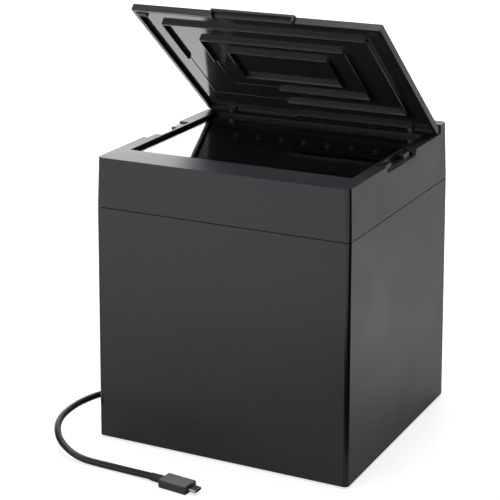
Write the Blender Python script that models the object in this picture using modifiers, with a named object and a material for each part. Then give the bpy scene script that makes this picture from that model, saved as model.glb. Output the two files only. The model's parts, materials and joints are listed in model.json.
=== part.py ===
"""A box-shaped photo scanner: a tall case with a camera inside, a glass top and a hinged lid.

The case stands on the floor with the origin under its middle, the front towards -Y and +Z up. The
lid is modelled closed, in the frame of an empty on the hinge axis, and that empty holds it open.
"""

import math

import bmesh
import bpy
from mathutils import Vector

MM = 0.001

# Clearances and overruns
FIT_GAP = 0.3 * MM
HINGE_GAP = 0.2 * MM
PIN_GAP = 0.08 * MM
CUT_OVERRUN = 1.0 * MM
JOIN_SINK = 0.6 * MM
RESOLUTION_GAP = 0.01 * MM

# Round shapes
FILLET_STEPS = 6
ROUND_SIDES = 24
SMALL_SIDES = 16
ALONG_SHARE = 0.99
ROUND_SHARE = 0.5
SMOOTH_ANGLE = math.radians(35)

# Case
CASE_WIDTH = 214 * MM
CASE_DEPTH = 201.2 * MM
SEAM_HEIGHT = 193.5 * MM
FRAME_HEIGHT = 39.4 * MM
LOWER_FLARE = 2.2 * MM
UPPER_INSET = 1.5 * MM
CORNER_RADIUS = 3.8 * MM
INNER_CORNER_RADIUS = 1.3 * MM
CASE_WALL = 2.5 * MM
FRAME_WALL = 2.8 * MM
FRAME_TOP_WALL = 3.0 * MM
SEAM_GAP = 0.6 * MM
FLOOR_GAP = 1.5 * MM
PLATE_THICKNESS = 2.5 * MM
LIP_DEPTH = 4.0 * MM
LIP_THICKNESS = 1.6 * MM

# Fasteners
SCREW_RADIUS = 1.4 * MM
SCREW_HEAD_RADIUS = 2.7 * MM
SCREW_HEAD_HEIGHT = 1.6 * MM
SCREW_GRIP = 9.0 * MM
SCREW_RELIEF = 1.5 * MM
HOLE_GAP = 0.3 * MM
SEAT_WALL = 1.4 * MM
BOSS_RADIUS = 5.0 * MM
BOSS_HEIGHT = 18 * MM
POST_RADIUS = 4.6 * MM
POST_DROP = 10 * MM
SHELF_THICKNESS = 3.0 * MM
SMALL_SCREW_RADIUS = 1.0 * MM
SMALL_HEAD_RADIUS = 1.9 * MM
SMALL_HEAD_HEIGHT = 1.2 * MM
SMALL_SCREW_GRIP = 3.6 * MM

# Feet
FOOT_RADIUS = 8.0 * MM
FOOT_SINK = 1.2 * MM
FOOT_EDGE = 0.5 * MM
FOOT_INSET = 24 * MM

# Glass and its opening
SIDE_BORDER = 11.5 * MM
FRONT_BORDER = 30.6 * MM
REAR_BORDER = 9.8 * MM
OPENING_RADIUS = 1.2 * MM
GLASS_RECESS = 2.6 * MM
GLASS_THICKNESS = 3.0 * MM
TAPE_THICKNESS = 0.6 * MM
LEDGE_WIDTH = 3.0 * MM
LEDGE_THICKNESS = 1.8 * MM
COLLAR_WALL = 2.2 * MM

# Side notches and the catches in them
NOTCH_LENGTH = 59.4 * MM
NOTCH_CENTRE = 1.3 * MM
NOTCH_DEPTH = 5.2 * MM
NOTCH_RIM = 2.2 * MM
NOTCH_RADIUS = 3.6 * MM
CATCH_GAP = 0.6 * MM
CATCH_WIDTH = 5.8 * MM
CATCH_BAR_HEIGHT = 3.0 * MM
CATCH_RISE = 0.3 * MM
CATCH_DROP = 0.3 * MM
FRONT_LUG_LENGTH = 14 * MM
FRONT_LUG_UNDERCUT = 6.0 * MM
FRONT_LUG_LIP = 1.6 * MM
REAR_LUG_LENGTH = 11.5 * MM
REAR_LUG_BACK = 6.9 * MM
CATCH_SHELF = 1.6 * MM
CATCH_SHELF_SINK = 1.0 * MM

# Rear block and hinge
BLOCK_DEPTH = 13.3 * MM
BLOCK_HEIGHT = 7.4 * MM
BLOCK_WALL = 2.6 * MM
HINGE_SETBACK = 4.6 * MM
EAR_THICKNESS = 3.0 * MM
EAR_RADIUS = 2.6 * MM
PIN_RADIUS = 1.2 * MM
PIN_DEPTH = 9.0 * MM
WASHER_THICKNESS = 0.8 * MM
WASHER_RADIUS = 2.4 * MM
OPEN_ANGLE = math.radians(39.8)

# Lid
LID_FRONT_INSET = 18.8 * MM
LID_SIDE_INSET = 1.2 * MM
LID_THICKNESS = 5.6 * MM
LID_SKIN = 1.3 * MM
LID_GAP = 1.0 * MM
RIM_WIDTH = 3.0 * MM
BAR_END_INSET = 25.3 * MM
BAR_DEPTH = 4.0 * MM
BAR_BACK = 1.4 * MM
BAR_LOW_END_SHARE = 0.24
BAR_LOW_DEPTH = 2.6 * MM
EAR_CLEARANCE = 0.8 * MM
HEEL_ANGLE = math.radians(60)
HEEL_THICKNESS = 1.6 * MM
HEEL_WIDTH = 6.0 * MM
HEEL_PLACE_SHARE = 0.955
TAB_HALF_WIDTH = 35.5 * MM
TAB_REACH = 3.2 * MM
TAB_SKIN = 2.1 * MM
TAB_CHEEK = 2.2 * MM
SCOOP_REACH = 4.0 * MM

# Ribbed liner: each frame's half width is a share of the lid's, and its two cross ribs lie at
# shares of the lid's length from the free edge
LINER_THICKNESS = 0.9 * MM
RIB_THICKNESS = 1.4 * MM
LOW_RIB_HEIGHT = 0.4 * MM
LOW_RIB_START_SHARE = 0.464
OUTER_RIB_SHARES = (0.833, 0.1195, 0.844)
MIDDLE_RIB_SHARES = (0.5954, 0.2477, 0.7158)
INNER_RIB_SHARES = (0.4161, 0.3498, 0.6068)
BUMPER_WIDTH = 8.4 * MM
BUMPER_DEPTH = 5.0 * MM
BUMPER_PROUD = 0.7 * MM

# Light box and its two rows of lamps
LIGHT_WALL = 1.5 * MM
LIGHT_SKIRT = 28 * MM
FUNNEL_HALF_MOUTH = 24 * MM
WINDOW_END_INSET = 9.0 * MM
WINDOW_HEIGHT = 11 * MM
WINDOW_DROP = 6.0 * MM
LAMP_END_INSET = 7.1 * MM
LAMP_COUNT = 8
LAMP_RADIUS = 2.2 * MM
LAMP_REACH = 3.4 * MM
LENS_BAR_THICKNESS = 1.4 * MM
LENS_BAR_LAP = 1.5 * MM
LAMP_BOARD_THICKNESS = 1.2 * MM
HOLDER_WALL = 1.6 * MM
HOLDER_SLOT_HALF = 3.2 * MM

# Main board
BOARD_WALL_GAP = 10.65 * MM
BOARD_TOWER_GAP = 6.0 * MM
BOARD_DEPTH = 58 * MM
BOARD_THICKNESS = 1.6 * MM
BOARD_CENTRE_Y = 6.0 * MM
LEAD_INSET = 10 * MM
STANDOFF_RADIUS = 3.0 * MM
STANDOFF_HEIGHT = 6.0 * MM
STANDOFF_INSET = 5.0 * MM
CHIP_WIDTH = 14 * MM
CHIP_HEIGHT = 1.2 * MM

# Camera
TOWER_HALF_WIDTH = 28 * MM
TOWER_TOP = 61.5 * MM
TOWER_WALL = 2.0 * MM
TOWER_WINDOW_HALF = 12 * MM
TOWER_WINDOW_TOP = 26 * MM
CAMERA_BOARD_HALF = 16 * MM
SENSOR_HALF = 6.0 * MM
SENSOR_HEIGHT = 1.6 * MM
HOLDER_HALF = 10 * MM
LENS_HOLDER_WALL = 2.0 * MM
LENS_HOLDER_HEIGHT = 9.0 * MM
LENS_HOLDER_TOP = 2.0 * MM
BARREL_RADIUS = 5.6 * MM
BARREL_WALL = 1.2 * MM
BARREL_RISE = 4.0 * MM
BARREL_FLANGE = 1.8 * MM
BARREL_SINK = 1.6 * MM
LENS_SEAT = 0.8 * MM
LENS_HEIGHT = 1.6 * MM
LENS_CROWN = 0.7 * MM
RIBBON_WIDTH = 8.0 * MM
RIBBON_THICKNESS = 0.4 * MM
RIBBON_OUT = 2.2 * MM

# Wires inside: each point is a share of the way out from the board to the lamps, and of the drop
WIRE_RADIUS = 0.9 * MM
WIRE_SPACING = 9.0 * MM
LEAD_SPACING = 4.5 * MM
LAMP_WIRE_SHARES = ((1.0, 0.05), (0.85, 0.4), (0.45, 0.72), (0.22, 0.93))

# The inner lead's points, as shares of the way from the gland to the board in X, Y and Z
INNER_LEAD_SHARES = ((0.17, 0.02, 0.04), (0.42, 0.16, 0.22), (0.67, 0.45, 0.55), (0.78, 0.78, 0.86))

# Cord, gland and plug
CORD_RADIUS = 2.7 * MM
CORD_SPACING = 8.0 * MM
CORD_STUB = 2.5 * MM
CORD_RESOLUTION = 2
GLAND_Y = -60 * MM
GLAND_Z = 19.5 * MM
GLAND_NECK_RADIUS = 3.9 * MM
GLAND_FLANGE_RADIUS = 5.4 * MM
GLAND_FLANGE = 1.8 * MM
GLAND_SNOUT = 5.0 * MM
GLAND_SNOUT_RADIUS = 3.4 * MM
PLUG_X = -7.0 * MM
PLUG_Y = -157 * MM
PLUG_TURN = math.radians(-6)
MOULD_LENGTH = 24.6 * MM
MOULD_WIDTH = 15.2 * MM
MOULD_HEIGHT = 7.0 * MM
MOULD_BEVEL = 1.5 * MM
BOOT_LENGTH = 11.5 * MM
BOOT_RADIUS = 3.4 * MM
BOOT_TIP_RADIUS = 3.1 * MM
SHELL_LENGTH = 6.6 * MM
SHELL_WIDTH = 8.4 * MM
SHELL_HEIGHT = 2.6 * MM
SHELL_WALL = 0.35 * MM
SHELL_BACK = 1.0 * MM
TONGUE_WIDTH = 6.6 * MM
TONGUE_HEIGHT = 0.7 * MM
TONGUE_LENGTH = 4.6 * MM

# The cord's free route from the gland to the plug, chosen by hand
CORD_ROUTE = (
    (-124.5 * MM, -62.4 * MM, 19.5 * MM),
    (-129.2 * MM, -67.6 * MM, 19.4 * MM),
    (-132.6 * MM, -75.5 * MM, 19.3 * MM),
    (-135.2 * MM, -85.0 * MM, 19.1 * MM),
    (-136.7 * MM, -95.0 * MM, 18.8 * MM),
    (-136.8 * MM, -106.0 * MM, 18.3 * MM),
    (-135.4 * MM, -117.0 * MM, 17.6 * MM),
    (-131.9 * MM, -127.6 * MM, 16.3 * MM),
    (-126.6 * MM, -136.6 * MM, 14.2 * MM),
    (-119.8 * MM, -143.6 * MM, 11.4 * MM),
    (-111.6 * MM, -148.0 * MM, 8.2 * MM),
    (-102.4 * MM, -150.4 * MM, 5.2 * MM),
    (-92.4 * MM, -151.4 * MM, 3.4 * MM),
    (-79.0 * MM, -151.8 * MM, 2.9 * MM),
    (-64.0 * MM, -152.4 * MM, 2.9 * MM),
    (-50.0 * MM, -153.2 * MM, 3.1 * MM),
)

# Places that follow from the sizes
FRAME_TOP = SEAM_HEIGHT + FRAME_HEIGHT
BLOCK_TOP = FRAME_TOP + BLOCK_HEIGHT
PLATE_TOP = FLOOR_GAP + PLATE_THICKNESS


def half_at(height):
    """Half width and half depth of the case's outer skin at a height."""
    if height <= SEAM_HEIGHT:
        shift = LOWER_FLARE * (SEAM_HEIGHT - height) / SEAM_HEIGHT
    else:
        shift = -UPPER_INSET * (height - SEAM_HEIGHT) / FRAME_HEIGHT
    return CASE_WIDTH / 2 + shift, CASE_DEPTH / 2 + shift


SIDE_FACE, REAR_FACE = half_at(FRAME_TOP)
BLOCK_FRONT = REAR_FACE - BLOCK_DEPTH
HINGE_Y = BLOCK_FRONT - HINGE_SETBACK
LID_HALF_THICKNESS = LID_THICKNESS / 2
HINGE_Z = FRAME_TOP + LID_GAP + LID_HALF_THICKNESS
LID_LENGTH = HINGE_Y + REAR_FACE - LID_FRONT_INSET
LID_HALF_WIDTH = SIDE_FACE - LID_SIDE_INSET
BAR_HALF_LENGTH = LID_HALF_WIDTH - BAR_END_INSET
BAR_LOW_END = BAR_LOW_END_SHARE * BAR_HALF_LENGTH
OPENING_HALF_WIDTH = SIDE_FACE - SIDE_BORDER
OPENING_FRONT = -REAR_FACE + FRONT_BORDER
OPENING_REAR = BLOCK_FRONT - REAR_BORDER
OPENING_CENTRE = (OPENING_FRONT + OPENING_REAR) / 2
GLASS_TOP = FRAME_TOP - GLASS_RECESS
GLASS_BOTTOM = GLASS_TOP - GLASS_THICKNESS
TAPE_TOP = GLASS_BOTTOM - FIT_GAP
LEDGE_TOP = TAPE_TOP - TAPE_THICKNESS - FIT_GAP
LEDGE_BOTTOM = LEDGE_TOP - LEDGE_THICKNESS
NOTCH_FRONT = NOTCH_CENTRE - NOTCH_LENGTH / 2
NOTCH_REAR = NOTCH_CENTRE + NOTCH_LENGTH / 2
NOTCH_FLOOR = FRAME_TOP - NOTCH_DEPTH
NOTCH_INSIDE = OPENING_HALF_WIDTH + NOTCH_RIM
POST_X = CASE_WIDTH / 2 - CASE_WALL - 2 * FIT_GAP - POST_RADIUS
POST_Y = CASE_DEPTH / 2 - CASE_WALL - 2 * FIT_GAP - POST_RADIUS
POST_BOTTOM = SEAM_HEIGHT - POST_DROP
SHELF_TOP = POST_BOTTOM - FIT_GAP
SHELF_BOTTOM = SHELF_TOP - SHELF_THICKNESS
BOSS_X = half_at(PLATE_TOP)[0] - CASE_WALL - BOSS_RADIUS + JOIN_SINK
BOSS_Y = half_at(PLATE_TOP)[1] - CASE_WALL - BOSS_RADIUS + JOIN_SINK
EAR_INSIDE = BAR_HALF_LENGTH + 2 * HINGE_GAP + WASHER_THICKNESS
EAR_OUTSIDE = EAR_INSIDE + EAR_THICKNESS
LIGHT_HALF_WIDTH = OPENING_HALF_WIDTH - LEDGE_WIDTH
LIGHT_HALF_DEPTH = (OPENING_REAR - OPENING_FRONT) / 2 - LEDGE_WIDTH
LIGHT_TOP = LEDGE_BOTTOM - FIT_GAP
LIGHT_BEND = LIGHT_TOP - LIGHT_SKIRT
LIGHT_BOTTOM = TOWER_TOP + FIT_GAP
WINDOW_HALF_WIDTH = LIGHT_HALF_WIDTH - WINDOW_END_INSET
LAMP_PITCH = 2 * (WINDOW_HALF_WIDTH - LAMP_END_INSET) / (LAMP_COUNT - 1)
WINDOW_TOP = LIGHT_TOP - WINDOW_DROP
WINDOW_BOTTOM = WINDOW_TOP - WINDOW_HEIGHT
BOARD_LEFT = -half_at(PLATE_TOP)[0] + CASE_WALL + BOARD_WALL_GAP
BOARD_RIGHT = -TOWER_HALF_WIDTH - BOARD_TOWER_GAP
BOARD_WIDTH = BOARD_RIGHT - BOARD_LEFT
BOARD_CENTRE_X = (BOARD_LEFT + BOARD_RIGHT) / 2
BOARD_BOTTOM = PLATE_TOP + STANDOFF_HEIGHT + FIT_GAP
BOARD_TOP = BOARD_BOTTOM + BOARD_THICKNESS
CORNERS = (("front_left", -1, -1), ("front_right", 1, -1), ("rear_left", -1, 1), ("rear_right", 1, 1))
SIDES = (("left", -1), ("right", 1))


def clear_scene():
    for item in list(bpy.data.objects):
        bpy.data.objects.remove(item, do_unlink=True)


def new_collection(name):
    group = bpy.data.collections.new(name)
    bpy.context.scene.collection.children.link(group)
    return group


clear_scene()
PARTS = new_collection("photo_scanner")
TOOLS = new_collection("cutters")


def material(name, colour, roughness, metallic=0.0):
    made = bpy.data.materials.new(name)
    made.use_nodes = True
    shader = made.node_tree.nodes["Principled BSDF"]
    shader.inputs["Base Color"].default_value = (*colour, 1)
    shader.inputs["Roughness"].default_value = roughness
    shader.inputs["Metallic"].default_value = metallic
    made.diffuse_color = (*colour, 1)
    return made


BLACK_PLASTIC = (0.032, 0.032, 0.034)
DARK_PLASTIC = (0.018, 0.018, 0.019)
BOARD_GREEN = (0.02, 0.12, 0.05)
STEEL = (0.55, 0.55, 0.57)


def mesh_object(name, bm, parent=None):
    """Turns a bmesh into an object with flat-shaded flats and smooth rounds."""
    bmesh.ops.recalc_face_normals(bm, faces=bm.faces)
    mesh = bpy.data.meshes.new(name)
    bm.to_mesh(mesh)
    bm.free()
    mesh.shade_smooth()
    mesh.set_sharp_from_angle(angle=SMOOTH_ANGLE)
    made = bpy.data.objects.new(name, mesh)
    PARTS.objects.link(made)
    made.parent = parent
    return made


def dress(part, colour, roughness, metallic=0.0):
    part.data.materials.clear()
    part.data.materials.append(material(part.name, colour, roughness, metallic))
    return part


def as_tool(tool):
    """Hides a body that only cuts or joins another."""
    PARTS.objects.unlink(tool)
    TOOLS.objects.link(tool)
    tool.hide_render = True
    tool.display_type = "WIRE"


def combine(part, tool, operation):
    step = part.modifiers.new(tool.name, "BOOLEAN")
    step.operation = operation
    step.solver = "EXACT"
    step.object = tool
    as_tool(tool)


def cut(part, *tools):
    for tool in tools:
        combine(part, tool, "DIFFERENCE")


def join(part, *tools):
    for tool in tools:
        combine(part, tool, "UNION")


def round_edges(bm, axis, radius, chosen=None):
    """Fillets the edges that run along one axis: all of them, or those whose middle is chosen."""
    edges = []
    for edge in bm.edges:
        run = (edge.verts[1].co - edge.verts[0].co).normalized()
        middle = (edge.verts[0].co + edge.verts[1].co) / 2
        if abs(run[axis]) > ALONG_SHARE and (chosen is None or chosen(middle)):
            edges.append(edge)
    bmesh.ops.bevel(
        bm, geom=edges, offset=radius, segments=FILLET_STEPS, profile=ROUND_SHARE, affect="EDGES"
    )


def box(name, low, high, parent=None, axis=2, radius=0, chosen=None):
    """A box between two corners, with the edges along one axis rounded if a radius is given."""
    low, high = Vector(low), Vector(high)
    bm = bmesh.new()
    bmesh.ops.create_cube(bm, size=1)
    for vert in bm.verts:
        for k in range(3):
            vert.co[k] = high[k] if vert.co[k] > 0 else low[k]
    if radius > 0:
        round_edges(bm, axis, radius, chosen)
    return mesh_object(name, bm, parent)


def tapered_box(name, lower, upper, bottom, top, radius=0, centre_y=0):
    """A box whose half width and half depth differ at its bottom and top."""
    bm = bmesh.new()
    bmesh.ops.create_cube(bm, size=1)
    for vert in bm.verts:
        half, height = (upper, top) if vert.co.z > 0 else (lower, bottom)
        vert.co.x = math.copysign(half[0], vert.co.x)
        vert.co.y = math.copysign(half[1], vert.co.y) + centre_y
        vert.co.z = height
    if radius > 0:
        round_edges(bm, 2, radius)
    return mesh_object(name, bm)


def skin_box(name, bottom, top, inset, radius):
    """A box that follows the case's outer skin, this far inside it."""
    lower = [half - inset for half in half_at(bottom)]
    upper = [half - inset for half in half_at(top)]
    return tapered_box(name, lower, upper, bottom, top, radius)


def rod(name, start, along, length, radius, parent=None, sides=SMALL_SIDES):
    """A cylinder from a start point along a direction."""
    bm = bmesh.new()
    bmesh.ops.create_cone(
        bm, cap_ends=True, segments=sides, radius1=radius, radius2=radius, depth=length
    )
    made = mesh_object(name, bm, parent)
    direction = Vector(along).normalized()
    made.location = Vector(start) + direction * length / 2
    made.rotation_euler = direction.to_track_quat("Z", "Y").to_euler()
    return made


def turned(name, profile, place, along=(0, 0, 1), parent=None, sides=ROUND_SIDES):
    """A turned solid: radius and height pairs down the outer side, spun round the local Z axis."""
    bm = bmesh.new()
    verts = [bm.verts.new((radius, 0, height)) for radius, height in profile]
    for first, second in zip(verts, verts[1:]):
        bm.edges.new((first, second))
    mesh = bpy.data.meshes.new(name)
    bm.to_mesh(mesh)
    bm.free()
    made = bpy.data.objects.new(name, mesh)
    PARTS.objects.link(made)
    made.parent = parent
    made.location = Vector(place)
    made.rotation_euler = Vector(along).to_track_quat("Z", "Y").to_euler()
    spin = made.modifiers.new("turn", "SCREW")
    spin.axis = "Z"
    spin.angle = math.tau
    spin.steps = sides
    spin.render_steps = sides
    spin.use_merge_vertices = True
    spin.merge_threshold = RESOLUTION_GAP
    spin.use_smooth_shade = True
    return made


def ring_profile(outer, inner, height):
    """A closed outline for a turned ring that stands on its local origin."""
    return ((inner, height), (outer, height), (outer, 0), (inner, 0), (inner, height))


def smooth_route(points, spacing):
    """Points at an even spacing along a smooth curve through the route's own points."""
    route = [Vector(point) for point in points]
    ends = [2 * route[0] - route[1], *route, 2 * route[-1] - route[-2]]
    fine = []
    steps = ROUND_SIDES
    for before, start, stop, after in zip(ends, ends[1:], ends[2:], ends[3:]):
        for step in range(steps):
            t = step / steps
            linear = (stop - before) * t
            square = (2 * before - 5 * start + 4 * stop - after) * t**2
            cube = (3 * start - before - 3 * stop + after) * t**3
            fine.append((2 * start + linear + square + cube) / 2)
    fine.append(route[-1])
    lengths = [0.0]
    for first, second in zip(fine, fine[1:]):
        lengths.append(lengths[-1] + (second - first).length)
    count = max(2, round(lengths[-1] / spacing) + 1)
    even = []
    index = 0
    for step in range(count):
        goal = lengths[-1] * step / (count - 1)
        while index < len(lengths) - 2 and lengths[index + 1] < goal:
            index += 1
        span = lengths[index + 1] - lengths[index]
        even.append(fine[index].lerp(fine[index + 1], (goal - lengths[index]) / span))
    return even


def tube(name, points, radius, resolution):
    curve = bpy.data.curves.new(name, "CURVE")
    curve.dimensions = "3D"
    curve.bevel_depth = radius
    curve.bevel_resolution = resolution
    curve.use_fill_caps = True
    spline = curve.splines.new("POLY")
    spline.points.add(len(points) - 1)
    for point, place in zip(spline.points, points):
        point.co = (*place, 1)
    made = bpy.data.objects.new(name, curve)
    PARTS.objects.link(made)
    return made


def screw(name, place, along, grip, radius, head_radius, head_height):
    """A pan-head screw: its head's underside is at the place, and its shank runs along a direction."""
    profile = (
        (0, grip),
        (radius, grip),
        (radius, 0),
        (head_radius, 0),
        (head_radius, -head_height),
        (0, -head_height),
    )
    made = turned(name, profile, place, along, sides=SMALL_SIDES)
    return dress(made, STEEL, 0.35, 1.0)


def base_case():
    """The tall lower shell, open at both ends, with screw bosses below and shelves under the seam."""
    top = SEAM_HEIGHT - SEAM_GAP / 2
    case = skin_box("base_case", FLOOR_GAP, top, 0, CORNER_RADIUS)
    hollow = skin_box(
        "base_case_hollow", FLOOR_GAP - CUT_OVERRUN, top + CUT_OVERRUN, CASE_WALL, INNER_CORNER_RADIUS
    )
    cut(case, hollow)
    for corner, side_x, side_y in CORNERS:
        foot = (side_x * BOSS_X, side_y * BOSS_Y, PLATE_TOP + FIT_GAP)
        boss = rod("boss_" + corner, foot, (0, 0, 1), BOSS_HEIGHT, BOSS_RADIUS)
        join(case, boss)
        wall_x = half_at(SHELF_BOTTOM)[0] - CASE_WALL + JOIN_SINK
        wall_y = half_at(SHELF_BOTTOM)[1] - CASE_WALL + JOIN_SINK
        near_x = POST_X - POST_RADIUS
        near_y = POST_Y - POST_RADIUS
        shelf = box(
            "shelf_" + corner,
            (min(side_x * near_x, side_x * wall_x), min(side_y * near_y, side_y * wall_y), SHELF_BOTTOM),
            (max(side_x * near_x, side_x * wall_x), max(side_y * near_y, side_y * wall_y), SHELF_TOP),
        )
        join(case, shelf)
    for corner, side_x, side_y in CORNERS:
        foot = (side_x * BOSS_X, side_y * BOSS_Y, PLATE_TOP + FIT_GAP - CUT_OVERRUN)
        depth = SCREW_GRIP + SCREW_RELIEF + CUT_OVERRUN
        hole = rod("boss_hole_" + corner, foot, (0, 0, 1), depth, SCREW_RADIUS + HOLE_GAP)
        under = (side_x * POST_X, side_y * POST_Y, SHELF_BOTTOM - CUT_OVERRUN)
        passing = rod(
            "shelf_hole_" + corner,
            under,
            (0, 0, 1),
            SHELF_THICKNESS + 2 * CUT_OVERRUN,
            SCREW_RADIUS + HOLE_GAP,
        )
        cut(case, hole, passing)
    wall_outside = half_at(GLAND_Z)[0]
    bore = rod(
        "gland_hole",
        (-wall_outside - CUT_OVERRUN, GLAND_Y, GLAND_Z),
        (1, 0, 0),
        CASE_WALL + 2 * CUT_OVERRUN,
        GLAND_NECK_RADIUS + HOLE_GAP,
    )
    cut(case, bore)
    return dress(case, BLACK_PLASTIC, 0.38)


def base_plate():
    """The plate that closes the case below, with pockets for the feet and posts for the main board."""
    plate = skin_box(
        "base_plate", FLOOR_GAP, PLATE_TOP, CASE_WALL + FIT_GAP, INNER_CORNER_RADIUS
    )
    for side_x in (-1, 1):
        for side_y in (-1, 1):
            place = board_corner(side_x, side_y)
            post = rod(
                f"standoff_{side_x}_{side_y}",
                (*place, PLATE_TOP - JOIN_SINK),
                (0, 0, 1),
                STANDOFF_HEIGHT + JOIN_SINK,
                STANDOFF_RADIUS,
            )
            join(plate, post)
    for corner, side_x, side_y in CORNERS:
        through = rod(
            "plate_hole_" + corner,
            (side_x * BOSS_X, side_y * BOSS_Y, FLOOR_GAP - CUT_OVERRUN),
            (0, 0, 1),
            PLATE_THICKNESS + 2 * CUT_OVERRUN,
            SCREW_RADIUS + HOLE_GAP,
        )
        sunk = rod(
            "plate_counterbore_" + corner,
            (side_x * BOSS_X, side_y * BOSS_Y, FLOOR_GAP - CUT_OVERRUN),
            (0, 0, 1),
            PLATE_THICKNESS - SEAT_WALL + CUT_OVERRUN,
            SCREW_HEAD_RADIUS + HOLE_GAP,
        )
        pocket = rod(
            "foot_pocket_" + corner,
            (*foot_place(side_x, side_y), FLOOR_GAP - CUT_OVERRUN),
            (0, 0, 1),
            FOOT_SINK + CUT_OVERRUN,
            FOOT_RADIUS + HOLE_GAP,
            sides=ROUND_SIDES,
        )
        cut(plate, through, sunk, pocket)
    for side in (-1, 1):
        place = board_corner(side, side)
        hole = rod(
            f"standoff_hole_{side}",
            (*place, PLATE_TOP + STANDOFF_HEIGHT + CUT_OVERRUN),
            (0, 0, -1),
            SMALL_SCREW_GRIP + CUT_OVERRUN,
            SMALL_SCREW_RADIUS + HOLE_GAP,
        )
        cut(plate, hole)
    return dress(plate, DARK_PLASTIC, 0.5)


def foot_place(side_x, side_y):
    half = half_at(FLOOR_GAP)
    return side_x * (half[0] - FOOT_INSET), side_y * (half[1] - FOOT_INSET)


def board_corner(side_x, side_y):
    return (
        BOARD_CENTRE_X + side_x * (BOARD_WIDTH / 2 - STANDOFF_INSET),
        BOARD_CENTRE_Y + side_y * (BOARD_DEPTH / 2 - STANDOFF_INSET),
    )


def feet():
    top = FLOOR_GAP + FOOT_SINK - FIT_GAP
    profile = (
        (0, top),
        (FOOT_RADIUS, top),
        (FOOT_RADIUS, FOOT_EDGE),
        (FOOT_RADIUS - FOOT_EDGE, 0),
        (0, 0),
    )
    for corner, side_x, side_y in CORNERS:
        foot = turned("foot_" + corner, profile, (*foot_place(side_x, side_y), 0))
        dress(foot, (0.012, 0.012, 0.012), 0.85)


def case_screws():
    """Four screws hold the plate to the case, and four hold the frame to the shelves."""
    for corner, side_x, side_y in CORNERS:
        seat = FLOOR_GAP + PLATE_THICKNESS - SEAT_WALL - FIT_GAP
        screw(
            "base_screw_" + corner,
            (side_x * BOSS_X, side_y * BOSS_Y, seat),
            (0, 0, 1),
            SCREW_GRIP,
            SCREW_RADIUS,
            SCREW_HEAD_RADIUS,
            seat - FLOOR_GAP,
        )
        screw(
            "frame_screw_" + corner,
            (side_x * POST_X, side_y * POST_Y, SHELF_BOTTOM - FIT_GAP),
            (0, 0, 1),
            SCREW_GRIP + SHELF_THICKNESS,
            SCREW_RADIUS,
            SCREW_HEAD_RADIUS,
            SCREW_HEAD_HEIGHT,
        )


def opening_box(name, outset, bottom, top, radius=0):
    """A box over the glass opening, this far outside its edge all round."""
    return box(
        name,
        (-OPENING_HALF_WIDTH - outset, OPENING_FRONT - outset, bottom),
        (OPENING_HALF_WIDTH + outset, OPENING_REAR + outset, top),
        radius=radius,
    )


def mirrored_box(name, side, inner_x, outer_x, low_yz, high_yz, **more):
    """A box on one side of the scanner, between two distances from its middle."""
    near, far = sorted((side * inner_x, side * outer_x))
    return box(name, (near, *low_yz), (far, *high_yz), **more)


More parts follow.
